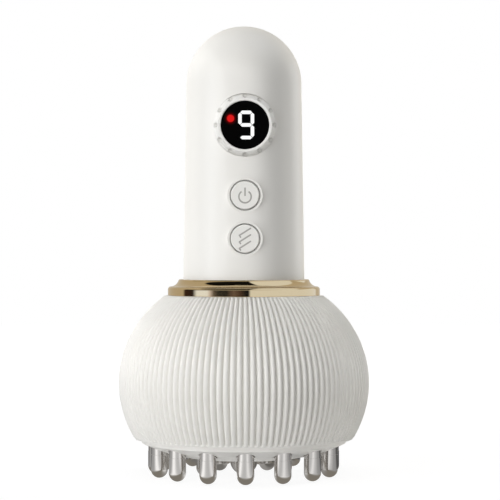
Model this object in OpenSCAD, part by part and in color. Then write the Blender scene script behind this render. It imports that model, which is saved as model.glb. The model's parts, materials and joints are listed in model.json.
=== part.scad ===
// Back and leg massager: an upright grip with a numeric display, standing on a fluted globe whose
// underside carries round-ended steel massage prongs. Millimetres, +Z up. The origin is on the
// axis of the grip, in the plane of the prong tips. The front, with the display, faces -Y.

/* [Grip] */
// Radius of the grip at its foot
foot_r = 25.4; // [24.8:0.1:26]
// Radius of the round top
dome_r = 24.15; // [23.6:0.05:24.8]
// Height from the foot to the centre of the round top
grip_h = 81.9; // [80:0.5:95]
// Wall of the two grip shells
grip_wall = 2.2; // [1.8:0.1:2.6]
// Radius of the spigot that stands inside the collar
spigot_r = 24.6; // [24:0.1:24.7]

/* [Collar] */
// Height of the collar
collar_h = 6.7; // [5.8:0.1:9]
// Radius of the collar's upright band
collar_r = 31.9; // [31:0.1:32.2]
// Radius of the collar's top edge
collar_top_r = 27.5; // [27:0.1:28]
// Height of the upright band
collar_band_h = 2.5; // [1.5:0.1:3]
// Rounding over the band
collar_edge_r = 1.2; // [0.8:0.1:1.4]
// Rounding of the top edge
collar_top_edge_r = 0.6; // [0.3:0.1:0.8]
// Radius of the hollow sweep between band and top edge
collar_sweep_r = 3.7; // [3:0.1:4.2]

/* [Globe] */
// Radius at the widest part, over the ribs
globe_r = 52.5; // [50:0.5:60]
// Height of the lower edge above the prong tips
lip_h = 15.5; // [14.5:0.1:18]
// Height from the lower edge to the widest part
belly_h = 23.3; // [20:0.1:26]
// Height from the widest part to the top deck
shoulder_h = 36.4; // [34:0.1:39]
// Half height of the oval above its widest part
oval_rise = 47; // [45:0.5:52]
// Wall under the bottom of the grooves
globe_wall = 2.2; // [1.6:0.1:2.6]
// Number of ribs round the globe
rib_count = 120; // [60:1:120]
// Depth of the grooves between the ribs
rib_h = 0.8; // [0.3:0.1:1]
// Thickness of the top deck
deck_t = 2.4; // [2:0.1:3]

/* [Underside] */
// Height of the middle of the underside above the prong tips
crown_h = 6.9; // [6.2:0.1:8]
// How sharply the underside turns up to its edge
crown_power = 3.3; // [2.4:0.1:4]
// Wall of the base plate
base_wall = 2; // [1.6:0.1:2.2]
// Height of the plane that the prong flanges sit on
prong_seat_h = 16.2; // [16:0.1:18]
// Thickness of the skirt that snaps into the globe
skirt_t = 1.6; // [1.2:0.1:1.7]
// Distance from the centres of the outer prongs to the edge of the base plate
edge_margin = 5.8; // [5.4:0.1:7.5]

/* [Prongs] */
// Radius of the ring and inner prongs
prong_r = 3.5; // [3:0.1:3.6]
// Radius of the centre prong
centre_prong_r = 5.8; // [5:0.1:6]
// Number of prongs in the outer ring
outer_count = 15; // [9:1:15]
// Radius of the outer ring
outer_ring_r = 37; // [35:0.1:38]
// Number of prongs in the inner ring
inner_count = 5; // [4:1:7]
// Radius of the inner ring
inner_ring_r = 17.3; // [16.5:0.1:18]
// Radius of the studs above the prong flanges
stud_r = 1.5; // [1.2:0.1:1.6]

/* [Display] */
// Height of the display's centre above the foot of the grip
display_up = 63.2; // [62.5:0.1:64]
// Radius of the dark window
window_r = 9.8; // [9.4:0.1:10]
// Thickness of the window
window_t = 1.2; // [1:0.1:1.6]
// How far the window lies behind the ring's front
window_sunk = 0.35; // [0.1:0.05:0.6]
// Width of the digit
digit_w = 6.5; // [5:0.1:6.6]
// Height of the digit
digit_h = 11.7; // [10:0.1:11.9]
// Width of a segment's stroke
stroke = 1.43; // [1:0.01:1.6]
// How far the digit lies to the right of the middle
digit_right = 0.47; // [0:0.01:0.6]
// Radius of the level lamp
lamp_r = 1.5; // [1:0.1:1.6]
// How far the lamp lies to the left of the middle
lamp_left = 5.9; // [5.8:0.1:6.1]
// How far the lamp lies above the middle
lamp_up = 2.65; // [1.5:0.05:3.2]

/* [Selector ring] */
// Radius of the ring over its base
ring_r = 12.6; // [12.4:0.1:12.8]
// How far the ring stands proud of the grip
ring_proud = 1.05; // [0.8:0.05:2]
// Radius of the sleeve that turns in the shell
sleeve_r = 11.05; // [10.95:0.05:11.15]
// Number of finger notches
notch_count = 12; // [6:1:18]
// Radius of a finger notch
notch_r = 0.8; // [0.5:0.1:0.9]
// Height of the notched crown above the ring's base
crown_ring_h = 2.2; // [1.8:0.1:2.4]

/* [Buttons] */
// Height of the power button above the foot of the grip
power_up = 34.6; // [34.3:0.1:35]
// Height of the mode button above the foot of the grip
mode_up = 16.9; // [16.6:0.1:17.3]
// Radius of a button
button_r = 5.8; // [5.4:0.1:5.9]
// Gap between a button and its hole
button_gap = 0.5; // [0.3:0.05:0.6]
// How far a button's face stands out of its land
button_proud = 0.25; // [0.1:0.05:0.5]
// Travel of a button
button_travel = 0.6; // [0.3:0.05:0.65]
// Radius of the flat land round a button
land_r = 7.2; // [6.8:0.1:7.6]
// Radius of a button's stem
stem_r = 2.2; // [1.8:0.1:2.4]
// Width of the icons' strokes
icon_line = 0.62; // [0.4:0.02:0.7]

/* [Boards and battery] */
// Distance of the main board's back from the axis
board_f = 10.2; // [10:0.1:10.6]
// Thickness of the boards
board_t = 1.6; // [1.2:0.1:1.8]
// Width of the main board
board_w = 23; // [21:0.5:23.5]
// Height of the main board
board_h = 39.6; // [39.2:0.1:40]
// Radius of the battery cell
cell_r = 9.2; // [8.8:0.1:9.3]
// Length of the battery cell
cell_h = 65; // [60:0.5:66]
// Wall of the battery cradle
cradle_t = 1.3; // [1:0.1:1.6]

/* [Motor] */
// Radius of the motor can
motor_r = 12.2; // [11.6:0.1:13]
// Length of the motor can
motor_h = 26; // [24:0.5:27]
// Radius of the motor shaft
shaft_r = 1; // [0.8:0.1:1.2]
// Radius of the eccentric weight
weight_r = 13; // [11:0.5:15]
// Thickness of the eccentric weight
weight_h = 8; // [6:0.5:8.5]
// Inner radius of the motor bracket
bracket_r = 19.5; // [18:0.1:19.8]
// Wall of the motor bracket
bracket_t = 2; // [1.6:0.1:2.4]
// Height of the motor bracket
bracket_h = 15; // [14.5:0.1:15.4]

/* [Fits] */
// Running clearance of turning and sliding pieces
run_fit = 0.05; // [0.02:0.01:0.08]
// Clearance of pieces that slip together
slip_fit = 0.1; // [0.05:0.01:0.15]
// Clearance of a hole round a free piece
free_fit = 0.3; // [0.2:0.05:0.4]
// Clearance of a screw in its pilot hole
thread_fit = 0.02; // [0.01:0.01:0.05]

/* [Hidden] */
$fn = 72;
tiny = 0.01;
far = 200;

// Colours
ivory = [0.93, 0.92, 0.89];
warm_white = [0.96, 0.96, 0.95];
champagne_gold = [0.78, 0.66, 0.43];
steel = [0.75, 0.75, 0.76];
dark_steel = [0.45, 0.45, 0.47];
window_black = [0.03, 0.03, 0.035];
icon_grey = [0.6, 0.6, 0.58];
board_green = [0.1, 0.38, 0.2];
lamp_red = [0.9, 0.1, 0.08];
copper = [0.72, 0.45, 0.2];
cell_blue = [0.2, 0.35, 0.6];
felt_grey = [0.6, 0.58, 0.55];

// Heights
belly_z = lip_h + belly_h;
deck_z = belly_z + shoulder_h;
foot_z = deck_z + collar_h;
dome_z = foot_z + grip_h;
display_z = foot_z + display_up;
power_z = foot_z + power_up;
mode_z = foot_z + mode_up;
deck_low_z = deck_z - deck_t;

// Radius of the grip at a height
function grip_r(z) = foot_r + (dome_r - foot_r) * (z - foot_z) / grip_h;

// Points of an arc, in degrees, from a to b
function arc(centre, r, a, b, n) =
    [for (i = [0:n]) centre + r * [cos(a + (b - a) * i / n), sin(a + (b - a) * i / n)]];

// Turns its children so that their +Z points to the front and their +Y up
module facing(z) {
    translate([0, 0, z]) rotate([90, 0, 0]) children();
}

// Turns its children so that their +Z points to the rear, at a place on the middle plane
module rearward(x, z) {
    translate([x, 0, z]) rotate([-90, 0, 0]) children();
}

// A tube from height a to height b
module tube(a, b, outer, inner) {
    translate([0, 0, a]) difference() {
        cylinder(h = b - a, r = outer);
        translate([0, 0, -1]) cylinder(h = b - a + 2, r = inner);
    }
}

// A rod from height a to height b
module rod(a, b, r) {
    translate([0, 0, a]) cylinder(h = b - a, r = r);
}

// Copies of its children on a ring, the first one in front
module ring_of(count, r) {
    for (i = [0:count - 1]) rotate([0, 0, i * 360 / count - 90]) translate([r, 0, 0]) children();
}

// Copies of its children on a square of places at 45 degrees
module square_of(r) {
    for (i = [0:3]) rotate([0, 0, 45 + 90 * i]) translate([r, 0, 0]) children();
}

// A pan-head screw along +Z: its head lies below z = 0 and its shaft above, with a cross half way in
function head_r(r) = 1.85 * r;
function head_h(r) = 1.2 * r;

module screw(r, length) {
    cross_l = 1.2 * head_r(r);
    cross_w = 0.24 * head_r(r);
    cylinder(h = length, r = r, $fn = 24);
    translate([0, 0, -head_h(r)]) difference() {
        cylinder(h = head_h(r), r = head_r(r), $fn = 32);
        for (a = [0, 90]) rotate([0, 0, a])
            translate([-cross_l / 2, -cross_w / 2, -head_h(r) / 2]) cube([cross_l, cross_w, head_h(r)]);
    }
}

// A wire through a list of points: its first ring of corners slides along each stretch to the plane
// that halves the bend, so the stretches meet in mitres
wire_sides = 8;
function unit(v) = v / norm(v);
function wire_start(p, along, r) =
    let (
        u = unit(cross(along, abs(along[2]) < 0.9 * norm(along) ? [0, 0, 1] : [1, 0, 0])),
        v = unit(cross(along, u))
    ) [for (k = [0:wire_sides - 1]) p + r * (cos(360 * k / wire_sides) * u + sin(360 * k / wire_sides) * v)];
function wire_rings(points, ring, i) = i == len(points) - 1 ? [] :
    let (
        along = unit(points[i + 1] - points[i]),
        after = i + 2 < len(points) ? unit(points[i + 2] - points[i + 1]) : along,
        normal = along + after,
        next = [for (q = ring) q + along * (((points[i + 1] - q) * normal) / (along * normal))]
    ) concat([next], wire_rings(points, next, i + 1));

module wire(points, r) {
    start = wire_start(points[0], points[1] - points[0], r);
    rings = concat([start], wire_rings(points, start, 0));
    last = (len(rings) - 1) * wire_sides;
    corners = [for (k = [0:wire_sides - 1]) k];
    sides = [for (i = [0:len(rings) - 2], k = corners)
        let (n = (k + 1) % wire_sides, a = i * wire_sides, b = a + wire_sides) [a + k, b + k, b + n, a + n]];
    polyhedron([for (ring = rings) each ring], concat([[for (k = corners) k]], sides,
        [[for (k = corners) last + wire_sides - 1 - k]]));
}

// Grip shells
screw_x = 16.3;
screw_zs = [foot_z + 10.1, dome_z - 3.8];
screw_boss_r = 4;
shell_screw_r = 1.25;
shell_screw_seat = 8;
shell_screw_reach = 8;
pilot_spare = 0.8;
floor_t = 2.6;
floor_bore_r = 15;
neck_screw_ring = 18.5;
neck_screw_r = 1.5;
neck_boss_r = 3.4;
neck_boss_h = 10.8;
neck_screw_reach = 8.5;

// The outer form of the grip, or its inner form at an inset
module grip_form(inset) {
    translate([0, 0, foot_z]) cylinder(h = grip_h, r1 = foot_r - inset, r2 = dome_r - inset);
    translate([0, 0, dome_z]) sphere(r = dome_r - inset);
}

// Wall, spigot and floor of the whole grip
module grip_shell() {
    difference() {
        union() {
            grip_form(0);
            rod(deck_z, foot_z + tiny, spigot_r);
        }
        grip_form(grip_wall);
        rod(deck_z + floor_t, foot_z + tiny, spigot_r - grip_wall);
        rod(deck_z - 1, foot_z, floor_bore_r);
    }
}

// One half of space: side is -1 in front and 1 behind
module half_space(side) {
    translate([-far, side > 0 ? 0 : -far, -far]) cube([2 * far, far, 3 * far]);
}

// Bosses of both shells, inside the grip
module shell_bosses() {
    for (x = [-screw_x, screw_x], z = screw_zs)
        translate([x, -dome_r, z]) rotate([-90, 0, 0]) cylinder(h = 2 * dome_r, r = screw_boss_r);
    square_of(neck_screw_ring) rod(deck_z + floor_t / 2, deck_z + neck_boss_h, neck_boss_r);
}

module neck_pilots() {
    square_of(neck_screw_ring)
        rod(deck_z - 1, deck_z + neck_screw_reach + pilot_spare, neck_screw_r + thread_fit);
}

// Seat of the selector ring and display, distances to the front from the axis
recess_r = ring_r + free_fit + run_fit;
seat_rise = 0.6;
seat_f = sqrt(pow(grip_r(display_z), 2) - pow(recess_r, 2)) + seat_rise;
seat_t = 2.6;
ring_bore_r = sleeve_r + run_fit;
ring_front_f = grip_r(display_z) + ring_proud;
display_depth = 4.5;
display_board_f = seat_f - seat_t - display_depth;
display_post_up = 15;
display_post_r = 2;
display_screw_r = 0.9;
display_screw_reach = 5.5;

// Places of the parts behind the buttons
guide_t = 1.2;
guide_gap = 3;
guide_sleeve_h = 2.5;
guide_sleeve_t = 1.3;
guide_f = board_f + board_t + guide_gap;
post_x = 9;
post_r = 2.2;
board_drop = 12;
board_low_z = mode_z - board_drop;
post_zs = [board_low_z + 2.7, board_low_z + board_h - 2.2];
board_screw_r = 0.9;
board_screw_reach = 3;
button_pad_t = 2.55;
flange_t = 1;
flange_rim = 1.8;
flange_r = button_r + flange_rim;
pocket_r = flange_r + button_gap;
land_proud = 0.1;
land_back = 0.6;

function land_f(z) = grip_r(z) + land_proud;
function pocket_f(z) = land_f(z) - button_pad_t;

// Runs its children at each button's height
module at_buttons() {
    for (z = [power_z, mode_z]) facing(z) children();
}

module board_posts(low_f, high_f, r) {
    for (x = [-post_x, post_x], z = post_zs)
        facing(z) translate([x, 0, low_f]) cylinder(h = high_f - low_f, r = r, $fn = 32);
}

module handle_front_shell() {
    color(ivory) difference() {
        intersection() {
            union() {
                grip_shell();
                intersection() {
                    union() {
                        shell_bosses();
                        board_posts(guide_f + guide_t, foot_r, post_r);
                        facing(display_z) for (s = [-1, 1])
                            translate([0, s * display_post_up, display_board_f])
                                cylinder(h = dome_r - display_board_f, r = display_post_r, $fn = 32);
                    }
                    union() {
                        grip_form(grip_wall / 2);
                        rod(deck_z, foot_z + tiny, spigot_r - grip_wall / 2);
                    }
                }
                facing(display_z) rod(seat_f - seat_t, seat_f, recess_r);
                for (z = [power_z, mode_z])
                    facing(z) rod(grip_r(z) - grip_wall - land_back, land_f(z), land_r);
            }
            half_space(-1);
        }
        facing(display_z) {
            rod(seat_f, far, recess_r);
            rod(0, far, ring_bore_r);
            rod(0, seat_f - seat_t, clip_r + free_fit);
            for (s = [-1, 1])
                translate([0, s * display_post_up, 0])
                    rod(0, display_board_f + display_screw_reach + pilot_spare, display_screw_r + thread_fit);
        }
        for (z = [power_z, mode_z]) facing(z) {
            rod(0, far, button_r + button_gap);
            rod(0, pocket_f(z), pocket_r);
        }
        board_posts(guide_f, guide_f + guide_t + board_screw_reach + pilot_spare, board_screw_r + thread_fit);
        for (x = [-screw_x, screw_x], z = screw_zs)
            facing(z) translate([x, 0, 0])
                rod(-1, shell_screw_reach + pilot_spare, shell_screw_r + thread_fit);
        neck_pilots();
    }
}

// Rear shell with its port opening, shelf and cradle posts
port_z = foot_z + 9.5;
port_w = 8.94;
port_h = 3.26;
port_metal_t = 0.3;
port_length = 7.3;
tongue_w = 6.3;
tongue_t = 0.7;
port_mouth = grip_r(port_z) - 0.5;
port_board_w = 14;
port_board_l = 11.5;
port_board_t = 1;
port_board_top = port_z - port_h / 2;
port_board_back = port_mouth - 3;
shelf_t = 1.6;
cheek_t = 1.5;
hook_t = 0.8;
cell_y = cell_r + free_fit;
cell_up = 15.6;
cell_low_z = foot_z + cell_up;
cradle_h = 52;
cradle_gap_h = 18;
cradle_r = cell_r + slip_fit + cradle_t;
cradle_low_z = cell_low_z + (cell_h - cradle_h) / 2;
cradle_post_r = 3;
cradle_post_in = 8;
cradle_post_zs = [cradle_low_z + cradle_post_in, cradle_low_z + cradle_h - cradle_post_in];

// A flat pill-shaped bar along +Z
module pill(w, h, length) {
    for (s = [-1, 1]) translate([s * (w - h) / 2, 0, 0]) cylinder(h = length, r = h / 2, $fn = 32);
    translate([-(w - h) / 2, -h / 2, 0]) cube([w - h, h, length]);
}

module port_shelf() {
    wall_y = grip_r(port_z);
    front_y = port_board_back - port_board_l;
    low = port_board_top - port_board_t;
    half = port_board_w / 2 + slip_fit;
    translate([-half - cheek_t, front_y, low - shelf_t])
        cube([2 * (half + cheek_t), wall_y - front_y, shelf_t]);
    for (s = [-1, 1]) {
        translate([s > 0 ? half : -half - cheek_t, front_y, low - tiny])
            cube([cheek_t, wall_y - front_y, port_board_t + slip_fit + hook_t]);
        translate([s > 0 ? half - hook_t : -half - tiny, front_y, port_board_top + slip_fit])
            cube([hook_t + tiny, wall_y - front_y, hook_t]);
    }
}

module handle_rear_shell() {
    color(ivory) difference() {
        intersection() {
            union() {
                grip_shell();
                intersection() {
                    union() {
                        shell_bosses();
                        port_shelf();
                        for (z = cradle_post_zs)
                            translate([0, cell_y + cradle_r, z]) rotate([-90, 0, 0])
                                cylinder(h = dome_r, r = cradle_post_r, $fn = 32);
                    }
                    union() {
                        grip_form(grip_wall / 2);
                        rod(deck_z, foot_z + tiny, spigot_r - grip_wall / 2);
                    }
                }
            }
            half_space(1);
        }
        for (x = [-screw_x, screw_x], z = screw_zs) rearward(x, z) {
            rod(-1, foot_r, shell_screw_r + slip_fit);
            rod(shell_screw_seat, foot_r, head_r(shell_screw_r) + free_fit);
        }
        rearward(0, port_z) translate([0, 0, port_board_back])
            pill(port_w + 2 * free_fit, port_h + 2 * free_fit, far);
        neck_pilots();
    }
}

module shell_screws() {
    color(steel) for (x = [-screw_x, screw_x], z = screw_zs)
        translate([x, shell_screw_seat, z]) rotate([90, 0, 0])
            screw(shell_screw_r, shell_screw_seat + shell_screw_reach);
}

module screw_caps() {
    color(ivory) intersection() {
        for (x = [-screw_x, screw_x], z = screw_zs)
            rearward(x, z) rod(shell_screw_seat + head_h(shell_screw_r) + slip_fit, foot_r,
                head_r(shell_screw_r) + free_fit - slip_fit);
        grip_form(0);
    }
}

// Collar
seal_r = 28.3;
seal_w = 1.4;
seal_h = 1.2;
sweep_centre = [collar_r - 0.9, collar_band_h + collar_edge_r + collar_sweep_r];
sweep_end = 180 + acos((sweep_centre[0] - collar_top_r) / collar_sweep_r);
collar_profile = concat(
    [[spigot_r + slip_fit, 0], [collar_r, 0]],
    arc([collar_r - collar_edge_r, collar_band_h], collar_edge_r, 0, 90, 6),
    arc(sweep_centre, collar_sweep_r, 268, sweep_end, 10),
    arc([collar_top_r - collar_top_edge_r, collar_h - collar_top_edge_r], collar_top_edge_r, 0, 90, 5),
    [[spigot_r + slip_fit, collar_h]]
);

module gold_collar() {
    color(champagne_gold) translate([0, 0, deck_z]) difference() {
        rotate_extrude() polygon(collar_profile);
        tube(-1, seal_h, seal_r + seal_w / 2 + slip_fit, seal_r - seal_w / 2 - slip_fit);
    }
}

module collar_seal() {
    color(dark_steel) tube(deck_z, deck_z + seal_h, seal_r + seal_w / 2, seal_r - seal_w / 2);
}

// Globe cover: each profile point has its radius in a groove, its radius on a rib and its height.
// Its lower edge goes round the base plate, and the oval below the widest part follows from that.
base_r = outer_ring_r + edge_margin;
snap_land_r = base_r + slip_fit;
lip_r = snap_land_r + globe_wall + rib_h;
low_angle = -acos(lip_r / globe_r);
oval_drop = -belly_h / sin(low_angle);
deck_bore_r = 21.5;
land_h = 4.5;
lip_band = 0.25;
outer_rows = 8;
inner_rows = 3;
top_angle = asin(shoulder_h / oval_rise);
inner_gap = rib_h + globe_wall;

function oval_point(a, inset) = [
    (globe_r - inset) * cos(a),
    belly_z + ((a > 0 ? oval_rise : oval_drop) - inset) * sin(a)
];
function oval_angle(z, inset) = asin((z - belly_z) / ((z > belly_z ? oval_rise : oval_drop) - inset));
snap_z = lip_h + land_h;
rib_end = 1.2;
rib_top = top_angle - rib_end;
rib_low = low_angle + 1.2 * rib_end;

function rib_row(a) = let (p = oval_point(a, 0)) [p[0] - rib_h, p[0], p[1]];
function plain_row(r, z) = [r, r, z];

cover_profile = concat(
    [plain_row(deck_bore_r, deck_z)],
    [plain_row(oval_point(top_angle, 0)[0] - rib_h, deck_z)],
    [for (i = [0:outer_rows]) rib_row(rib_top + (rib_low - rib_top) * i / outer_rows)],
    [for (a = [low_angle + rib_end / 2, low_angle])
        plain_row(oval_point(a, 0)[0] - lip_band, oval_point(a, 0)[1])],
    [plain_row(snap_land_r, lip_h), plain_row(snap_land_r, snap_z)],
    [for (i = [0:inner_rows])
        let (
            a = oval_angle(snap_z, inner_gap),
            b = oval_angle(deck_low_z, inner_gap),
            p = oval_point(a + (b - a) * i / inner_rows, inner_gap)
        ) plain_row(p[0], p[1])],
    [plain_row(deck_bore_r, deck_low_z)]
);

module globe_cover() {
    rows = len(cover_profile);
    columns = 2 * rib_count;
    points = [for (j = [0:columns - 1], p = cover_profile)
        let (a = 360 * j / columns - 90, r = j % 2 == 0 ? p[1] : p[0]) [r * cos(a), r * sin(a), p[2]]];
    faces = [for (j = [0:columns - 1], i = [0:rows - 1])
        let (
            k = (j + 1) % columns,
            n = (i + 1) % rows,
            here = j * rows + i,
            below = j * rows + n,
            beside = k * rows + i,
            across = k * rows + n
        ) each [[here, across, below], [here, beside, across]]];
    color(ivory) polyhedron(points, faces);
}

// Neck plate that clamps the globe's deck under the grip
neck_flange_r = 27;
neck_flange_t = 2.4;
neck_bore_r = 12;
neck_low_z = deck_low_z - neck_flange_t;

module neck_plate() {
    color(dark_steel) difference() {
        union() {
            rod(neck_low_z, deck_low_z, neck_flange_r);
            rod(deck_low_z - tiny, deck_z, deck_bore_r - slip_fit);
        }
        rod(neck_low_z - 1, deck_z + 1, neck_bore_r);
        square_of(neck_screw_ring) rod(neck_low_z - 1, deck_z + 1, neck_screw_r + slip_fit);
    }
}

module neck_screws() {
    color(steel) square_of(neck_screw_ring) translate([0, 0, neck_low_z])
        screw(neck_screw_r, deck_t + neck_flange_t + neck_screw_reach);
}

// Base plate, prongs and heating
seat_margin = 1.7;
prong_flange_r = prong_r + 0.7;
centre_flange_r = centre_prong_r + 1.2;
prong_flange_t = 1;
heat_plate_t = 1.5;
nut_h = 2;
plate_z = prong_seat_h + prong_flange_t;
plate_top = plate_z + heat_plate_t;
stud_top = plate_top + nut_h + 0.2;
film_t = 0.25;
pad_t = 2;
pad_top = stud_top + pad_t;
post_ring = (inner_ring_r + outer_ring_r) / 2;
bracket_post_r = 3.2;
bracket_z = pad_top + 1.3;
bracket_screw_r = 1.3;
bracket_screw_reach = 7.5;
hook_h = 1.2;
hook_out = 0.8;
hook_count = 8;
slot_w = 2;
plate_gap = 0.6;
pad_gap = 1;
film_margin = 4;
lead_ring = post_ring;
lead_r = 0.75;

function underside_z(r) = crown_h + (lip_h - crown_h) * pow(r / lip_r, crown_power);
underside_rows = 10;
underside_curve = [for (i = [0:underside_rows]) let (r = base_r * i / underside_rows) [r, underside_z(r)]];

// Everything over the underside's curve
module above_underside(height) {
    rotate_extrude() polygon(concat(underside_curve, [[base_r, height], [0, height]]));
}

module prong_places(radius, centre_radius, low, high) {
    ring_of(outer_count, outer_ring_r) rod(low, high, radius);
    ring_of(inner_count, inner_ring_r) rod(low, high, radius);
    rod(low, high, centre_radius);
}

module base_plate() {
    skirt_r = base_r - skirt_t;
    hook_z = snap_z + slip_fit;
    color(ivory) difference() {
        union() {
            rotate_extrude() polygon(concat(
                underside_curve,
                [
                    [base_r, hook_z], [base_r + hook_out, hook_z], [base_r, hook_z + hook_h],
                    [skirt_r, hook_z + hook_h], [skirt_r, underside_z(skirt_r) + base_wall]
                ],
                [for (i = [underside_rows - 1:-1:0])
                    let (r = skirt_r * i / underside_rows) [r, underside_z(r) + base_wall]]
            ));
            intersection() {
                union() {
                    prong_places(prong_r + seat_margin, centre_prong_r + seat_margin, 0, prong_seat_h);
                    square_of(post_ring) rod(0, bracket_z, bracket_post_r);
                }
                above_underside(far);
            }
        }
        prong_places(prong_r + free_fit, centre_prong_r + free_fit, 0, far);
        square_of(post_ring)
            rod(bracket_z - bracket_screw_reach - pilot_spare, far, bracket_screw_r + thread_fit);
        for (i = [0:hook_count - 1]) rotate([0, 0, 360 * i / hook_count])
            translate([skirt_r - 1, -slot_w / 2, prong_seat_h + slot_w]) cube([far, slot_w, far]);
        tube(prong_seat_h, far, base_r - skirt_t, post_ring + bracket_post_r + free_fit);
    }
}

// One prong: round tip, body, a shank slimmer than the body through the plate, flange and stud
shank_step = 0.1;
body_top = underside_z(outer_ring_r - prong_r - free_fit) - free_fit;

module prong(r, flange) {
    translate([0, 0, r]) sphere(r = r);
    rod(r, body_top, r);
    rod(body_top - tiny, prong_seat_h + tiny, r - shank_step);
    rod(prong_seat_h, plate_z, flange);
    rod(plate_z - tiny, stud_top, stud_r);
}

module centre_prong() {
    color(steel) prong(centre_prong_r, centre_flange_r);
}

module inner_prongs() {
    color(steel) ring_of(inner_count, inner_ring_r) prong(prong_r, prong_flange_r);
}

module outer_prongs() {
    color(steel) ring_of(outer_count, outer_ring_r) prong(prong_r, prong_flange_r);
}

// A hexagon nut on a stud
module stud_nut() {
    difference() {
        translate([0, 0, plate_top]) cylinder(h = nut_h, r = stud_r + 1.6, $fn = 6);
        rod(plate_top - 1, plate_top + nut_h + 1, stud_r + thread_fit);
    }
}

module prong_nuts() {
    color(dark_steel) {
        ring_of(outer_count, outer_ring_r) stud_nut();
        ring_of(inner_count, inner_ring_r) stud_nut();
        stud_nut();
    }
}

module heat_plate() {
    color(steel) difference() {
        rod(plate_z, plate_top, base_r - skirt_t - plate_gap);
        prong_places(stud_r + slip_fit, stud_r + slip_fit, 0, far);
        square_of(post_ring) rod(0, far, bracket_post_r + free_fit);
    }
}

module heater_film() {
    color(copper) difference() {
        tube(plate_top, plate_top + film_t, outer_ring_r - film_margin, inner_ring_r + film_margin);
        square_of(post_ring) rod(0, far, bracket_post_r + 2 * free_fit);
    }
}

// Thermal fuse behind the centre stud and thermistor in front of it, both on the heat plate
fuse_r = 1.05;
fuse_l = 9;
fuse_lead_r = 0.35;
fuse_lead_l = 16;
sensor_y = 9.5;
bead = [3, 2, 1.8];

module heat_sensors() {
    color(copper) {
        translate([0, sensor_y, plate_top + fuse_r]) rotate([0, 90, 0]) {
            translate([0, 0, -fuse_l / 2]) cylinder(h = fuse_l, r = fuse_r, $fn = 32);
            translate([0, 0, -fuse_lead_l / 2]) cylinder(h = fuse_lead_l, r = fuse_lead_r, $fn = 20);
        }
        translate([-bead[0] / 2, -sensor_y - bead[1] / 2, plate_top]) cube(bead);
    }
}

module insulation_pad() {
    color(felt_grey) difference() {
        rod(stud_top, pad_top, base_r - skirt_t - pad_gap);
        square_of(post_ring) rod(0, far, bracket_post_r + free_fit);
        for (s = [-1, 1]) translate([0, s * lead_ring, 0]) rod(0, far, lead_r + free_fit);
    }
}

// Motor bracket: a windowed cup that stands on the base plate's posts
bracket_foot_t = 2;
bracket_top_t = 2.2;
bracket_top_z = bracket_z + bracket_h;
motor_z = bracket_top_z;
motor_top_z = motor_z + motor_h;
motor_boss_r = 3.2;
motor_boss_h = 1.8;
motor_screw_ring = 8;
motor_screw_r = 1.2;
bracket_rim = 0.8;
opening_w = 14;
opening_edge = 1.4;
opening_h = bracket_h - bracket_foot_t - bracket_top_t - 2 * opening_edge;

module motor_bracket() {
    color(dark_steel) difference() {
        union() {
            rod(bracket_z, bracket_z + bracket_foot_t, post_ring + bracket_post_r + bracket_rim);
            rod(bracket_z, bracket_top_z, bracket_r + bracket_t);
        }
        rod(bracket_z - 1, bracket_top_z - bracket_top_t, bracket_r);
        rod(bracket_z, bracket_top_z + 1, motor_boss_r + slip_fit);
        for (a = [0, 90, 180, 270]) rotate([0, 0, a])
            translate([0, -opening_w / 2, bracket_z + bracket_foot_t + opening_edge])
                cube([far, opening_w, opening_h]);
        square_of(post_ring) rod(bracket_z - 1, bracket_z + bracket_foot_t + 1, bracket_screw_r + slip_fit);
        for (s = [-1, 1])
            translate([s * motor_screw_ring, 0, 0]) rod(bracket_z, far, motor_screw_r + slip_fit);
        for (s = [-1, 1]) translate([0, s * lead_ring, 0])
            rod(bracket_z - 1, bracket_z + bracket_foot_t + 1, lead_r + free_fit);
    }
}

module bracket_screws() {
    color(steel) square_of(post_ring) translate([0, 0, bracket_z + bracket_foot_t]) rotate([180, 0, 0])
        screw(bracket_screw_r, bracket_foot_t + bracket_screw_reach);
}

// Motor
can_t = 1;
can_floor_t = 1.4;
end_cap_t = 2;
cap_spigot_t = 2;
cap_hub_t = 1.4;
cap_hub_h = 0.6;
bush_r = 2.2;
rotor_r = 8.6;
magnet_inner_r = rotor_r + 0.6;
magnet_outer_r = motor_r - can_t - slip_fit;
rotor_low_z = motor_z + 5;
rotor_h = motor_h - 11;
magnet_over = 1;
commutator_r = 3.2;
commutator_h = 2.4;
shaft_low_z = bracket_z + 1;
shaft_over = 0.2;
weight_z = shaft_low_z + 1;
weight_hub_t = 2.4;

module motor_can() {
    color(steel) difference() {
        union() {
            rod(motor_z, motor_top_z, motor_r);
            rod(motor_z - motor_boss_h, motor_z + tiny, motor_boss_r);
        }
        rod(motor_z + can_floor_t, motor_top_z + 1, motor_r - can_t);
        rod(motor_z - motor_boss_h - 1, motor_z + 2, bush_r);
        for (s = [-1, 1]) translate([s * motor_screw_ring, 0, 0])
            rod(motor_z - 1, motor_z + 2, motor_screw_r + thread_fit);
    }
}

module motor_end_cap() {
    color(ivory) difference() {
        union() {
            rod(motor_top_z, motor_top_z + end_cap_t, motor_r);
            rod(motor_top_z - cap_spigot_t, motor_top_z + tiny, motor_r - can_t - slip_fit);
            rod(motor_top_z, motor_top_z + end_cap_t + cap_hub_h, bush_r + cap_hub_t);
        }
        rod(motor_z, far, bush_r);
        tube(motor_z, motor_top_z, motor_r - can_t - cap_spigot_t, bush_r + cap_hub_t);
    }
}

module motor_magnets() {
    color(dark_steel) for (a = [25, 205]) rotate([0, 0, a]) translate([0, 0, rotor_low_z])
        rotate_extrude(angle = 130) translate([magnet_inner_r, 0])
            square([magnet_outer_r - magnet_inner_r, rotor_h + magnet_over]);
}

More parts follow.
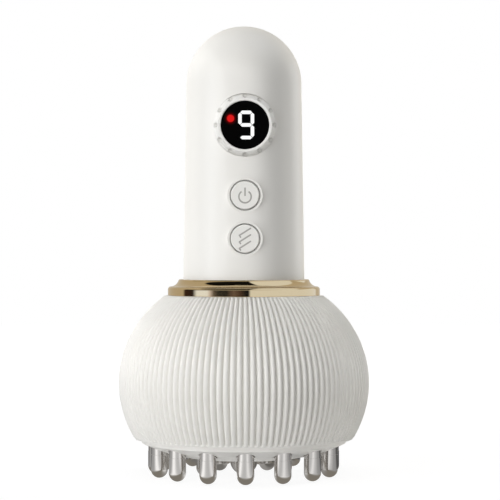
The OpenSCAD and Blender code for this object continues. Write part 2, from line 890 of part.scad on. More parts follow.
module motor_bushes() {
    color(copper) {
        tube(motor_z - motor_boss_h, motor_z + can_floor_t, bush_r, shaft_r + run_fit);
        tube(motor_top_z - cap_spigot_t, motor_top_z + end_cap_t + cap_hub_h, bush_r, shaft_r + run_fit);
    }
}

module motor_screws() {
    color(steel) for (s = [-1, 1])
        translate([s * motor_screw_ring, 0, motor_z - bracket_top_t])
            screw(motor_screw_r, bracket_top_t + can_floor_t);
}

module motor_shaft() {
    color(steel) rod(shaft_low_z, motor_top_z + end_cap_t + cap_hub_h + shaft_over, shaft_r);
}

module motor_rotor() {
    color(copper) {
        tube(rotor_low_z, rotor_low_z + rotor_h, rotor_r, shaft_r);
        tube(rotor_low_z + rotor_h, rotor_low_z + rotor_h + commutator_h, commutator_r, shaft_r);
    }
}

module eccentric_weight() {
    color(dark_steel) translate([0, 0, weight_z]) difference() {
        union() {
            cylinder(h = weight_h, r = shaft_r + weight_hub_t);
            intersection() {
                cylinder(h = weight_h, r = weight_r);
                translate([-far, -far, -1]) cube([2 * far, far, weight_h + 2]);
            }
        }
        translate([0, 0, -1]) cylinder(h = weight_h + 2, r = shaft_r);
    }
}

// Selector ring, distances to the front from the axis
washer_t = 0.4;
ring_back_f = seat_f + washer_t + slip_fit;
ring_inner_r = window_r + slip_fit;
ring_top_w = 0.85;
ring_base_h = ring_front_f - ring_back_f - crown_ring_h;
ring_step = 0.35;
ring_lean = 0.15;
ring_edge = 0.3;
ring_shoulder = 1;
notch_floor = 0.6;
ring_crown_r = ring_r - ring_step;
sleeve_end = 1.3;
sleeve_back_f = seat_f - seat_t - sleeve_end;
clip_groove_depth = 0.5;
clip_t = 0.7;
clip_play = 0.15;
clip_out = 1.2;
clip_f = seat_f - seat_t - clip_play - clip_t;
clip_r = ring_bore_r + clip_out;
magnet_t = 1.2;

module selector_ring() {
    base_f = ring_back_f + ring_base_h;
    color(warm_white) facing(display_z) difference() {
        rotate_extrude() polygon([
            [ring_inner_r, sleeve_back_f], [sleeve_r, sleeve_back_f], [sleeve_r, ring_back_f],
            [ring_r, ring_back_f], [ring_r, base_f], [ring_crown_r, base_f + ring_step],
            [ring_crown_r - ring_lean, ring_front_f - ring_shoulder],
            [ring_inner_r + ring_top_w + ring_edge, ring_front_f - ring_edge / 4],
            [ring_inner_r + ring_top_w, ring_front_f],
            [ring_inner_r + ring_edge, ring_front_f], [ring_inner_r, ring_front_f - ring_edge]
        ]);
        for (i = [0:notch_count - 1]) rotate([0, 0, 90 + 360 * i / notch_count])
            translate([ring_crown_r - ring_lean / 2, 0, base_f + notch_floor])
                cylinder(h = far, r = notch_r, $fn = 24);
        tube(clip_f - run_fit, clip_f + clip_t + run_fit, ring_r, sleeve_r - clip_groove_depth);
    }
}

module ring_retainer() {
    color(steel) facing(display_z)
        tube(clip_f, clip_f + clip_t, clip_r, sleeve_r - clip_groove_depth + thread_fit);
}

module ring_magnet() {
    color(dark_steel) facing(display_z)
        tube(sleeve_back_f - magnet_t, sleeve_back_f, sleeve_r, ring_inner_r);
}

module ring_washer() {
    color(dark_steel) facing(display_z)
        tube(seat_f, seat_f + washer_t, ring_r - slip_fit, ring_bore_r + slip_fit);
}

// Display
window_front_f = ring_front_f - window_sunk;
window_back_f = window_front_f - window_t;
module_gap = 1.3;
module_front_f = window_back_f - module_gap;
module_w = 8.8;
module_h = 13.2;
module_right = digit_right + 0.28;
lamp_base_h = 3;
lamp_base_rim = 0.3;
barrel_t = 1.2;
board_rim = 0.5;
ear_rim = 0.2;
segment_gap = 0.12;
segment_reach = window_front_f - module_front_f;

// One upright segment of the digit with pointed ends, from y = a to y = b
module segment(x, a, b) {
    half = stroke / 2;
    polygon([
        [x, a], [x + half, a + half], [x + half, b - half],
        [x, b], [x - half, b - half], [x - half, a + half]
    ]);
}

// The lit segments of a nine, as flat outlines widened by grow
module nine(grow) {
    w = digit_w - stroke;
    h = (digit_h - stroke) / 2;
    g = segment_gap - grow;
    translate([digit_right, 0]) {
        for (y = [-h, 0, h]) translate([0, y]) rotate(90) segment(0, -w / 2 + g, w / 2 - g);
        for (y = [0, -h]) segment(w / 2, y + g, y + h - g);
        segment(-w / 2, g, h - g);
    }
}

module display_window() {
    color(window_black) facing(display_z) difference() {
        rod(window_back_f, window_front_f, window_r);
        translate([0, 0, window_back_f - 1]) linear_extrude(window_t + 2) nine(0);
        translate([-lamp_left, lamp_up, 0]) rod(window_back_f - 1, window_front_f + 1, lamp_r);
    }
}

module digit_segments() {
    color(warm_white) facing(display_z) translate([0, 0, module_front_f])
        linear_extrude(segment_reach) nine(0);
}

module level_lamp() {
    color(lamp_red) facing(display_z) translate([-lamp_left, lamp_up, 0]) {
        rod(display_board_f, window_front_f, lamp_r);
        rod(display_board_f, display_board_f + lamp_base_h, lamp_r + lamp_base_rim);
    }
}

module display_module() {
    color(window_black) facing(display_z)
        translate([module_right - module_w / 2, -module_h / 2, display_board_f])
            cube([module_w, module_h, module_front_f - display_board_f]);
}

module display_barrel() {
    color(window_black) facing(display_z) tube(display_board_f, window_back_f, window_r, window_r - barrel_t);
}

module display_board() {
    ear_l = display_post_up + display_post_r + ear_rim;
    ear_w = 2 * (display_post_r + ear_rim);
    color(board_green) facing(display_z) difference() {
        union() {
            rod(display_board_f - board_t, display_board_f, sleeve_r + board_rim);
            translate([-ear_w / 2, -ear_l, display_board_f - board_t]) cube([ear_w, 2 * ear_l, board_t]);
        }
        for (s = [-1, 1])
            translate([0, s * display_post_up, 0]) rod(0, far, display_screw_r + slip_fit);
    }
}

module display_screws() {
    color(steel) facing(display_z) for (s = [-1, 1])
        translate([0, s * display_post_up, display_board_f - board_t])
            screw(display_screw_r, board_t + display_screw_reach);
}

// Flat ribbon from the display board's back to the main board's front
ribbon_w = 4.2;
ribbon_t = 0.3;
ribbon_x = -6.6;

ribbon_lap = 3;
ribbon_bend = 2;
ribbon_top = 6;

module display_ribbon() {
    top_z = display_z - ribbon_top;
    low_z = board_low_z + board_h - ribbon_lap;
    bend_z = low_z + ribbon_lap + ribbon_bend;
    turn_z = bend_z + 2 * ribbon_bend;
    front = -(display_board_f - board_t);
    back = -(board_f + board_t + ribbon_t);
    color(copper) translate([ribbon_x, 0, 0]) rotate([90, 0, 90]) linear_extrude(ribbon_w) polygon([
        [front, top_z], [front, turn_z], [back, bend_z], [back, low_z],
        [back + ribbon_t, low_z], [back + ribbon_t, bend_z + ribbon_t / 3],
        [front + ribbon_t, turn_z + ribbon_t / 3], [front + ribbon_t, top_z]
    ]);
}

// Buttons
cap_edge = 0.3;
icon_t = 0.3;
switch_w = 6;
switch_h = 1.9;
switch_floor_t = 0.3;
plunger_r = 1.7;
plunger_in = 0.6;
plunger_out = button_travel + 0.1;
stem_end_f = board_f + board_t + switch_h + plunger_out;
bar_top = 3.1;
bar_low = -0.3;
arc_r = 2.5;
arc_low = -0.6;
arc_mouth = 3.4;

// The power sign: a bar over an open ring
module power_sign() {
    translate([-icon_line / 2, bar_low]) square([icon_line, bar_top - bar_low]);
    translate([0, arc_low]) difference() {
        circle(r = arc_r + icon_line / 2);
        circle(r = arc_r - icon_line / 2);
        polygon([[0, 0], [-arc_mouth, 2 * arc_r], [arc_mouth, 2 * arc_r]]);
    }
}

// The heat sign: three slanted strokes with a short hook at their lower ends
stroke_low = [-2.3, -1.3];
stroke_high = [2.2, 1.55];
hook_end = [-1.85, -2];
stroke_pitch = 2.65;

module slanted_stroke(a, b) {
    along = b - a;
    translate(a) rotate(atan2(along[1], along[0])) translate([0, -icon_line / 2])
        square([norm(along), icon_line]);
    for (p = [a, b]) translate(p) circle(r = icon_line / 2, $fn = 20);
}

module heat_sign() {
    for (step = [-1:1]) translate([0, step * stroke_pitch]) {
        slanted_stroke(stroke_low, stroke_high);
        slanted_stroke(stroke_low, hook_end);
    }
}

// A button cap at height z with the sign of its children sunk in its face
module button_cap(z) {
    face_f = land_f(z) + button_proud;
    flange_back = pocket_f(z) - slip_fit - flange_t;
    facing(z) difference() {
        union() {
            rod(flange_back, flange_back + flange_t, flange_r);
            rod(flange_back, face_f - cap_edge, button_r);
            translate([0, 0, face_f - cap_edge])
                cylinder(h = cap_edge, r1 = button_r, r2 = button_r - cap_edge);
            rod(stem_end_f, flange_back + tiny, stem_r);
        }
        translate([0, 0, face_f - icon_t]) linear_extrude(1) children();
    }
}

module button_sign(z) {
    facing(z) translate([0, 0, land_f(z) + button_proud - icon_t]) linear_extrude(icon_t) children();
}

module button_plunger(z) {
    facing(z) rod(stem_end_f - plunger_out - plunger_in, stem_end_f, plunger_r);
}

module power_button() {
    color(warm_white) button_cap(power_z) power_sign();
}

module power_icon() {
    color(icon_grey) button_sign(power_z) power_sign();
}

module power_plunger() {
    color(window_black) button_plunger(power_z);
}

module mode_button() {
    color(warm_white) button_cap(mode_z) heat_sign();
}

module mode_icon() {
    color(icon_grey) button_sign(mode_z) heat_sign();
}

module mode_plunger() {
    color(window_black) button_plunger(mode_z);
}

// Guide plate with a sleeve round each stem and spacers to the main board
module button_guide() {
    color(ivory) difference() {
        union() {
            translate([-board_w / 2, -guide_f - guide_t, board_low_z]) cube([board_w, guide_t, board_h]);
            at_buttons() rod(guide_f, guide_f + guide_t + guide_sleeve_h, stem_r + guide_sleeve_t);
            board_posts(board_f + board_t, guide_f + tiny, post_r);
        }
        at_buttons() rod(0, far, stem_r + run_fit);
        board_posts(0, far, board_screw_r + slip_fit);
    }
}

module switch_bodies() {
    color(window_black) at_buttons() difference() {
        translate([-switch_w / 2, -switch_w / 2, board_f + board_t]) cube([switch_w, switch_w, switch_h]);
        rod(board_f + board_t + switch_floor_t, far, plunger_r + slip_fit);
    }
}

module main_board() {
    color(board_green) difference() {
        translate([-board_w / 2, -board_f - board_t, board_low_z]) cube([board_w, board_t, board_h]);
        board_posts(0, far, board_screw_r + slip_fit);
    }
}

// Chips and sockets on the board's back: width, height, thickness, place to the right, place above its
// lower edge
socket_t = 3.5;
cell_socket_up = 33.5;
port_socket_up = 4.5;
component_list = [
    [7, 7, 1, 0, 13], [5, 5, 3, -5, 24], [4, 3, 1.2, 6, 22],
    [8, 4, socket_t, 0, cell_socket_up], [8, 4, socket_t, 0, port_socket_up]
];

module board_components() {
    color(window_black) for (c = component_list)
        translate([c[3] - c[0] / 2, -board_f, board_low_z + c[4] - c[1] / 2]) cube([c[0], c[2], c[1]]);
}

module board_screws() {
    color(steel) for (x = [-post_x, post_x], z = post_zs)
        facing(z) translate([x, 0, board_f])
            screw(board_screw_r, guide_f + guide_t - board_f + board_screw_reach);
}

// Battery
cell_cap_h = 1;
cell_cap_r = 3.2;
cradle_wrap = 3;

module battery_cell() {
    color(cell_blue) translate([0, cell_y, 0]) {
        rod(cell_low_z, cell_low_z + cell_h - cell_cap_h, cell_r);
        rod(cell_low_z + cell_h - cell_cap_h - tiny, cell_low_z + cell_h, cell_cap_r);
    }
}

module battery_cradle() {
    color(window_black) translate([0, cell_y, cradle_low_z]) difference() {
        cylinder(h = cradle_h, r = cradle_r);
        translate([0, 0, -1]) cylinder(h = cradle_h + 2, r = cell_r + slip_fit);
        translate([-far, -far - cradle_wrap, -1]) cube([2 * far, far, cradle_h + 2]);
        translate([-far, -far + cradle_wrap, (cradle_h - cradle_gap_h) / 2])
            cube([2 * far, far, cradle_gap_h]);
    }
}

// Nickel tabs of the cell with their wires, and the two wires of the charging port
tab = [4, 8, 0.3];
tab_y = cell_y - 6;
wire_r = 0.6;
port_wire_r = 0.5;

module power_leads() {
    top = cell_low_z + cell_h;
    low = cell_low_z;
    cell_socket_z = board_low_z + cell_socket_up;
    port_socket_z = board_low_z + port_socket_up;
    socket_y = -board_f + socket_t;
    pad_y = port_board_back - port_board_l + 1.5;
    color(copper) for (z = [low - tab[2], top]) translate([-tab[0] / 2, tab_y, z]) cube(tab);
    color(lamp_red) {
        wire([
            [0, tab_y + 2, top + tab[2] / 2], [0, tab_y + 2, top + 2], [0, -4, top - 1],
            [0, -4, cell_socket_z + 8], [1.5, -4, cell_socket_z], [1.5, socket_y, cell_socket_z]
        ], wire_r);
        wire([
            [0, tab_y + 2, low - tab[2] / 2], [0, tab_y + 2, low - 2], [-6, -3, low - 1],
            [-6, -3, cell_socket_z - 6], [-1.5, -3, cell_socket_z], [-1.5, socket_y, cell_socket_z]
        ], wire_r);
        for (s = [-1, 1]) wire([
            [s * 4, pad_y, port_board_top], [s * 4, pad_y, port_board_top + 2],
            [s * 2.6, -3, port_socket_z], [s * 2.6, socket_y, port_socket_z]
        ], port_wire_r);
    }
}

// Wires of the motor and of the heater, through the neck to the main board
module motor_leads() {
    color(window_black) for (s = [-1, 1]) wire([
        [s * 6, 0, motor_top_z + end_cap_t], [s * 6, 0, deck_z + 4], [s * 9, -4, deck_z + 9],
        [s * 9, -4, board_low_z + 10], [s * 9, -board_f, board_low_z + 10]
    ], wire_r);
}

module heater_leads() {
    color(lamp_red) for (s = [-1, 1]) wire([
        [0, s * lead_ring, plate_top + film_t], [0, s * lead_ring, motor_z + 4], [0, s * 16, motor_top_z + 1],
        [0, s * 9, neck_low_z + 1], [0, s * 9, deck_z + 3], [s * 6.5, -4.5, deck_z + 10],
        [s * 6.5, -4.5, board_low_z + 14], [s * 6.5, -board_f, board_low_z + 14]
    ], lead_r);
}

// Charging port and its board on the shelf of the rear shell
module charging_port() {
    color(steel) rearward(0, port_z) translate([0, 0, port_mouth - port_length]) {
        difference() {
            pill(port_w, port_h, port_length);
            translate([0, 0, 2 * port_metal_t])
                pill(port_w - 2 * port_metal_t, port_h - 2 * port_metal_t, port_length);
        }
        translate([-tongue_w / 2, -tongue_t / 2, port_metal_t]) cube([tongue_w, tongue_t, port_length - 1]);
    }
}

module port_board() {
    color(board_green)
        translate([-port_board_w / 2, port_board_back - port_board_l, port_board_top - port_board_t])
            cube([port_board_w, port_board_l, port_board_t]);
}

handle_front_shell();
handle_rear_shell();
shell_screws();
screw_caps();
gold_collar();
collar_seal();
globe_cover();
neck_plate();
neck_screws();
base_plate();
centre_prong();
inner_prongs();
outer_prongs();
prong_nuts();
heat_plate();
heater_film();
heat_sensors();
insulation_pad();
motor_bracket();
bracket_screws();
motor_can();
motor_end_cap();
motor_magnets();
motor_bushes();
motor_screws();
motor_shaft();
motor_rotor();
eccentric_weight();
selector_ring();
ring_retainer();
ring_magnet();
ring_washer();
display_window();
digit_segments();
level_lamp();
display_module();
display_barrel();
display_board();
display_screws();
display_ribbon();
power_button();
power_icon();
power_plunger();
mode_button();
mode_icon();
mode_plunger();
button_guide();
switch_bodies();
main_board();
board_components();
board_screws();
battery_cell();
battery_cradle();
power_leads();
motor_leads();
heater_leads();
charging_port();
port_board();
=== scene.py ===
"""Back and leg massager: the visible surfaces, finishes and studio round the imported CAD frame.

An upright ivory grip with a lit numeric display, a notched selector ring and two push buttons stands
in a polished champagne collar on a fluted globe, whose underside carries round-ended steel prongs.
Everything is in metres, +Z up, with the display facing -Y. The globe cover, the collar, the prongs and
the selector ring are worked out here as surfaces; the other nodes of the frame keep their meshes and
get their finishes here.
"""

import json
import math

import bpy
import numpy as np
from bpy.props import FloatProperty, FloatVectorProperty, IntProperty, PointerProperty
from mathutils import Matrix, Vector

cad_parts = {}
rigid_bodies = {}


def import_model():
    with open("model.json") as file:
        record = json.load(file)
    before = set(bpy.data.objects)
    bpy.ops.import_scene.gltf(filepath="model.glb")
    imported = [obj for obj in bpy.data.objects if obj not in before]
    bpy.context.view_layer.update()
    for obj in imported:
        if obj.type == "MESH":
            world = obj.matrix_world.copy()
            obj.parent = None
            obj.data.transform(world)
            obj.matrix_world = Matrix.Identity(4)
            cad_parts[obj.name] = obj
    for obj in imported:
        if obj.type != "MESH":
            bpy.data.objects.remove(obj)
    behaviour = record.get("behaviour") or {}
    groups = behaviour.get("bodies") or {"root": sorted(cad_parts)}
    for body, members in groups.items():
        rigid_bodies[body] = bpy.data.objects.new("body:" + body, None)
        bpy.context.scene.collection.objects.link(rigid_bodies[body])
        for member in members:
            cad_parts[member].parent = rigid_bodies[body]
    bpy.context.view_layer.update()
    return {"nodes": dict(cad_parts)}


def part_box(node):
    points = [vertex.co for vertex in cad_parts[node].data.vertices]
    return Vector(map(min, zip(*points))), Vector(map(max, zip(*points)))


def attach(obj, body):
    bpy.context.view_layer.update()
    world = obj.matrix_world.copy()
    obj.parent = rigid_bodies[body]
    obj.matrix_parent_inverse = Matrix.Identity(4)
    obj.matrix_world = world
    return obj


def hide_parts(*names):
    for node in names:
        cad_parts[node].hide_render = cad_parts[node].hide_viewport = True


bl_info = {
    "name": "Back and leg massager",
    "version": (1, 0, 0),
    "blender": (4, 5, 0),
    "location": "3D View > Sidebar > Massager",
    "description": "Dresses the massager's frame with its surfaces, finishes and studio",
    "category": "Object",
}

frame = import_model()

MM = 0.001
FRONT = -math.pi / 2
TURN = 2 * math.pi


def length(name, default, description):
    """A length in metres with its unit."""
    return FloatProperty(name=name, default=default, description=description, unit="LENGTH",
                         subtype="DISTANCE", precision=5, min=0)


def number(name, default, description, low=0.0, high=1000.0):
    """A plain number."""
    return FloatProperty(name=name, default=default, description=description, min=low, max=high)


def count(name, default, description):
    """A whole number of repeats."""
    return IntProperty(name=name, default=default, description=description, min=3, max=400)


def tint(name, default, description):
    """A colour in linear light."""
    return FloatVectorProperty(name=name, default=default, description=description,
                               subtype="COLOR", size=3, min=0, max=1)


# Sizes and colours that a user would change


class MassagerGlobe(bpy.types.PropertyGroup):
    """Sizes of the fluted globe cover"""
    radius: length("Radius", 0.05248, "Radius at the widest part, over the ribs")
    belly: length("Belly height", 0.0388, "Height of the widest part")
    rise: length("Rise", 0.047, "Half height of the oval above the widest part")
    drop: length("Drop", 0.048, "Half height of the oval below the widest part")
    deck: length("Deck height", 0.0752, "Height of the top deck")
    deck_wall: length("Deck wall", 0.0024, "Thickness of the top deck")
    lip: length("Lip height", 0.0155, "Height of the lower edge")
    bore: length("Deck bore", 0.0215, "Radius of the hole in the top deck")
    land: length("Snap land", 0.0429, "Inner radius of the lower edge")
    land_height: length("Land height", 0.0045, "Height of the snap land over the lower edge")
    wall: length("Wall", 0.003, "Wall with the ribs")
    ribs: count("Ribs", 120, "Ribs round the globe")
    relief: length("Relief", 0.0016, "Depth of the grooves between the ribs")
    crown: number("Crown", 3.2, "How broad the crest of a rib is", 1.2, 4)
    taper: number("Taper", 0.3, "How fast the grooves get shallower away from the widest part", 0, 2)
    band: length("Lip band", 0.00035, "Height of the smooth band under the ribs")
    band_inset: length("Band inset", 0.00022, "How far the smooth band lies behind the crests")
    scallop: length("Scallop", 0.0005, "How far a rib's round end reaches past its grooves")
    foot_rise: length("Foot rise", 0.00055, "Stretch over which a groove gets its depth at the foot")
    top_round: length("Top rounding", 0.0006, "Size along a rib of the rounding at the deck")
    top_drop: length("Top drop", 0.00032, "Size across a rib of the rounding at the deck")
    tuck: length("Tuck", 0.0003, "How far the deck begins inside the deepest groove's end")


class MassagerCollar(bpy.types.PropertyGroup):
    """Sizes of the polished collar"""
    radius: length("Radius", 0.0319, "Radius of the upright band")
    bore: length("Bore", 0.0247, "Radius of the bore")
    height: length("Height", 0.0067, "Height of the collar")
    top: length("Top radius", 0.0275, "Radius of the top edge")
    band: length("Band height", 0.0025, "Height of the upright band")
    edge: length("Band rounding", 0.0012, "Rounding over the band")
    top_edge: length("Top rounding", 0.0006, "Rounding of the top edge")
    sweep: length("Sweep", 0.0037, "Radius of the hollow sweep")
    sweep_inset: length("Sweep inset", 0.0009, "How far the sweep's centre lies inside the band")
    channel: length("Channel", 0.0275, "Inner radius of the seal's channel in the foot")
    channel_wide: length("Channel width", 0.0016, "Width of the seal's channel")
    channel_deep: length("Channel depth", 0.0012, "Depth of the seal's channel")
    sides: count("Sides", 240, "Facets round the collar")


class MassagerProngs(bpy.types.PropertyGroup):
    """Sizes of the prongs"""
    radius: length("Radius", 0.0035, "Radius of the outer and inner prongs")
    centre: length("Centre radius", 0.0058, "Radius of the centre prong")
    outer_ring: length("Outer ring", 0.037, "Radius of the outer ring of prongs")
    inner_ring: length("Inner ring", 0.0173, "Radius of the inner ring of prongs")
    outer_count: count("Outer prongs", 15, "Prongs in the outer ring")
    inner_count: count("Inner prongs", 5, "Prongs in the inner ring")
    seat: length("Seat", 0.0162, "Height of the prongs' flanges")
    flange: length("Flange", 0.001, "Thickness of a flange")
    flange_lip: length("Flange lip", 0.0007, "How far a flange stands out from its prong")
    centre_lip: length("Centre lip", 0.0012, "How far the centre prong's flange stands out")
    stud: length("Stud", 0.0015, "Radius of a stud")
    stud_top: length("Stud top", 0.0209, "Height of the studs' ends")
    shank_low: length("Shank", 0.00956, "Height above which a prong is slimmer")
    shank_step: length("Shank step", 0.0001, "How much slimmer a prong is in the plate")


class MassagerRing(bpy.types.PropertyGroup):
    """Sizes of the notched selector ring"""
    height: length("Height", 0.1451, "Height of the display's centre")
    inner: length("Inner radius", 0.0099, "Radius round the window")
    sleeve: length("Sleeve", 0.01105, "Radius of the sleeve in the shell")
    rim: length("Rim radius", 0.01285, "Radius of the ring's base")
    outer: length("Outer radius", 0.0126, "Radius that the crown is stepped in from")
    sleeve_back: length("Sleeve back", 0.01801, "Distance of the sleeve's end from the axis")
    back: length("Back", 0.02182, "Distance of the ring's back from the axis")
    base: length("Base", 0.023285, "Distance of the ring's base from the axis")
    front: length("Front", 0.025485, "Distance of the ring's front from the axis")
    notches: count("Notches", 12, "Finger notches round the ring")
    notch: length("Notch radius", 0.00085, "Radius of a finger notch")
    notch_floor: length("Notch floor", 0.00025, "Height of a notch's floor over the base")
    notch_wall: number("Notch wall", 7, "How steep the wall round a notch is")
    notch_bowl: number("Notch bowl", 0.25, "How much a notch's floor rises towards its wall", 0, 2)


class MassagerColours(bpy.types.PropertyGroup):
    """Colours of the finishes, in linear light"""
    ivory: tint("Ivory", (0.84, 0.832, 0.805), "Soft-touch plastic of grip and globe")
    cap: tint("Button caps", (0.83, 0.825, 0.80), "Caps of the two buttons")
    selector: tint("Selector ring", (0.86, 0.855, 0.835), "Smooth plastic of the ring")
    # Painted shade: the colour that the notches' base colour runs towards, in place of the shadow in them
    notch_painted_shade: tint("Ring notches", (0.3, 0.29, 0.26), "Shade in the notches of the ring")
    port: tint("Port", (0.56, 0.56, 0.57), "Drawn steel of the charging port")
    gold: tint("Collar", (0.62, 0.49, 0.29), "Polished champagne metal")
    steel: tint("Prongs", (0.72, 0.70, 0.68), "Polished steel of the prongs")
    window: tint("Window", (0.001, 0.001, 0.0012), "Dark window of the display")
    digit: tint("Digit", (1.0, 1.0, 1.0), "Lit segments of the digit")
    lamp: tint("Lamp", (0.76, 0.004, 0.004), "Lit level lamp")
    icon: tint("Icons", (0.44, 0.43, 0.41), "Signs in the button caps")


class MassagerStudio(bpy.types.PropertyGroup):
    """Camera and light of the studio"""
    distance: length("Distance", 0.80, "Distance of the camera from the axis")
    eye: length("Eye height", 0.0942, "Height of the camera")
    turn: FloatProperty(name="Turn", default=math.radians(1.05), subtype="ANGLE",
                        description="How far the camera stands to the left of the middle plane")
    lens: number("Lens", 137.1, "Focal length in millimetres on a picture of the sensor's width")
    sensor: number("Sensor", 36, "Width of the sensor in millimetres")
    shift: number("Shift", 6.1 / 500, "How far the picture is moved, as a share of its width", -1, 1)
    level: number("Light level", 22.6, "Watts of a lamp whose share is 1", 0, 200)
    ambient: number("Ambient", 0.02, "Light from all round the object", 0, 2)
    sheen: number("Sheen", 2.7, "Brightness of the card that the satin plastic mirrors", 0, 20)


GROUPS = {
    "massager_globe": MassagerGlobe,
    "massager_collar": MassagerCollar,
    "massager_prongs": MassagerProngs,
    "massager_ring": MassagerRing,
    "massager_colours": MassagerColours,
    "massager_studio": MassagerStudio,
}


# Surfaces


NO_FANS = np.zeros((0, 3), int)


def grid_faces(rows, columns, loop_rows):
    """Four-sided faces between neighbouring rows of points. Each row closes on itself, and with
    loop_rows the last row joins the first one too."""
    r, c = np.meshgrid(np.arange(rows if loop_rows else rows - 1), np.arange(columns), indexing="ij")
    up, on = (r + 1) % rows, (c + 1) % columns
    faces = [r * columns + c, r * columns + on, up * columns + on, up * columns + c]
    return np.stack(faces, axis=-1).reshape(-1, 4)


def outward(points, quads, fans):
    """Turns all faces round if the volume they enclose comes out negative."""
    triangles = np.concatenate([quads[:, [0, 1, 2]], quads[:, [0, 2, 3]], fans])
    a, b, c = (points[triangles[:, i]] for i in range(3))
    if np.einsum("ij,ij->i", a, np.cross(b, c)).sum() < 0:
        return quads[:, ::-1], fans[:, ::-1]
    return quads, fans


def turned(profile, sides):
    """A turned surface: each (radius r, height z) of the profile goes round the Z axis as
    (r cos t, r sin t, z). An end with radius 0 becomes one pole; without poles the profile closes."""
    profile = np.asarray(profile, float)
    low_pole, top_pole = profile[0, 0] == 0, profile[-1, 0] == 0
    rings = profile[int(low_pole):len(profile) - int(top_pole)]
    t = FRONT + TURN * np.arange(sides) / sides
    points = np.stack([np.outer(rings[:, 0], np.cos(t)), np.outer(rings[:, 0], np.sin(t)),
                       np.repeat(rings[:, 1:2], sides, axis=1)], axis=-1).reshape(-1, 3)
    quads = grid_faces(len(rings), sides, not (low_pole or top_pole))
    step, on = np.arange(sides), (np.arange(sides) + 1) % sides
    fans = NO_FANS
    last = (len(rings) - 1) * sides
    for there, first, z in ((low_pole, 0, profile[0, 1]), (top_pole, last, profile[-1, 1])):
        if there:
            pole = np.full(sides, len(points))
            points = np.vstack([points, [[0, 0, z]]])
            fan = np.stack([first + on, first + step, pole], axis=-1)
            fans = np.vstack([fans, fan if first == 0 else fan[:, ::-1]])
    return (points, *outward(points, quads, fans))


def arc(centre, radius, low, high, steps):
    """Points on a circle round centre, from the angle low to the angle high in degrees."""
    a = np.radians(np.linspace(low, high, steps + 1))
    return np.stack([centre[0] + radius * np.cos(a), centre[1] + radius * np.sin(a)], axis=-1)


def copies(surface, places):
    """The surface once at each (x, y) place."""
    points, quads, fans = surface
    places = np.asarray([(x, y, 0) for x, y in places])
    n, step = len(points), np.arange(len(places))[:, None, None]
    every = (points[None] + places[:, None]).reshape(-1, 3)
    return every, (quads[None] + n * step).reshape(-1, 4), (fans[None] + n * step).reshape(-1, 3)


def ring_places(number_of, radius):
    """Places on a circle, the first one in front."""
    t = FRONT + TURN * np.arange(number_of) / number_of
    return np.stack([radius * np.cos(t), radius * np.sin(t)], axis=-1)


def to_front(points, height):
    """Turns local +Z to the front and local +Y up, and raises the origin to height."""
    return np.stack([points[:, 0], -points[:, 2], points[:, 1] + height], axis=-1)


def smooth(x):
    """0 below 0, 1 above 1, and 3x^2 - 2x^3 between."""
    x = np.clip(x, 0, 1)
    return x * x * (3 - 2 * x)


def make_piece(name, surface, material, body, nodes, sharp):
    """One mesh object at the origin that rides on a body and stands for the given nodes. Edges that
    bend by more than sharp degrees are drawn sharp."""
    points, quads, fans = surface
    mesh = bpy.data.meshes.new(name)
    mesh.from_pydata(points.tolist(), [], quads.tolist() + fans.tolist())
    mesh.update()
    mesh.shade_smooth()
    mesh.set_sharp_from_angle(angle=math.radians(sharp))
    mesh.materials.append(material)
    piece = bpy.data.objects.new(name, mesh)
    bpy.context.scene.collection.objects.link(piece)
    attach(piece, body)
    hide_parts(*nodes)
    return piece


# Shared effects


class Nodes:
    """Adds nodes to a tree and links them in one call each."""

    def __init__(self, tree):
        self.tree = tree

    def add(self, kind, settings=None, **inputs):
        """A node of a kind; settings are its own fields, and inputs are values or sockets."""
        node = self.tree.nodes.new(kind)
        for key, value in (settings or {}).items():
            setattr(node, key, value)
        for key, value in inputs.items():
            socket = node.inputs[int(key[1:])] if key[0] == "_" else node.inputs[key.replace("_", " ")]
            if isinstance(value, bpy.types.NodeSocket):
                self.tree.links.new(value, socket)
            else:
                socket.default_value = value
        return node

    def calc(self, operation, a, b=0.0, clamp=False):
        """The result of one Math node."""
        settings = {"operation": operation, "use_clamp": clamp}
        return self.add("ShaderNodeMath", settings, _0=a, _1=b).outputs[0]

    def blend(self, factor, a, b):
        """A colour between a and b."""
        node = self.add("ShaderNodeMix", {"data_type": "RGBA"})
        for i, value in ((0, factor), (6, a), (7, b)):
            if isinstance(value, bpy.types.NodeSocket):
                self.tree.links.new(value, node.inputs[i])
            else:
                node.inputs[i].default_value = value
        return node.outputs[2]

    def ramp(self, value, stops):
        """A colour ramp with (position, grey or colour) stops."""
        node = self.add("ShaderNodeValToRGB", Fac=value)
        ramp = node.color_ramp
        while len(ramp.elements) < len(stops):
            ramp.elements.new(0.5)
        for element, (position, shade) in zip(ramp.elements, stops):
            element.position = position
            element.color = (*shade, 1) if isinstance(shade, tuple) else (shade, shade, shade, 1)
        return node.outputs["Color"]


def new_group(name, inputs, outputs):
    """An empty shader node group with named sockets: (name, kind, default)."""
    tree = bpy.data.node_groups.new(name, "ShaderNodeTree")
    for label, kind, default in inputs:
        socket = tree.interface.new_socket(name=label, in_out="INPUT", socket_type=kind)
        if default is not None:
            socket.default_value = default
    for label, kind in outputs:
        tree.interface.new_socket(name=label, in_out="OUTPUT", socket_type=kind)
    return tree, tree.nodes.new("NodeGroupInput").outputs, tree.nodes.new("NodeGroupOutput").inputs


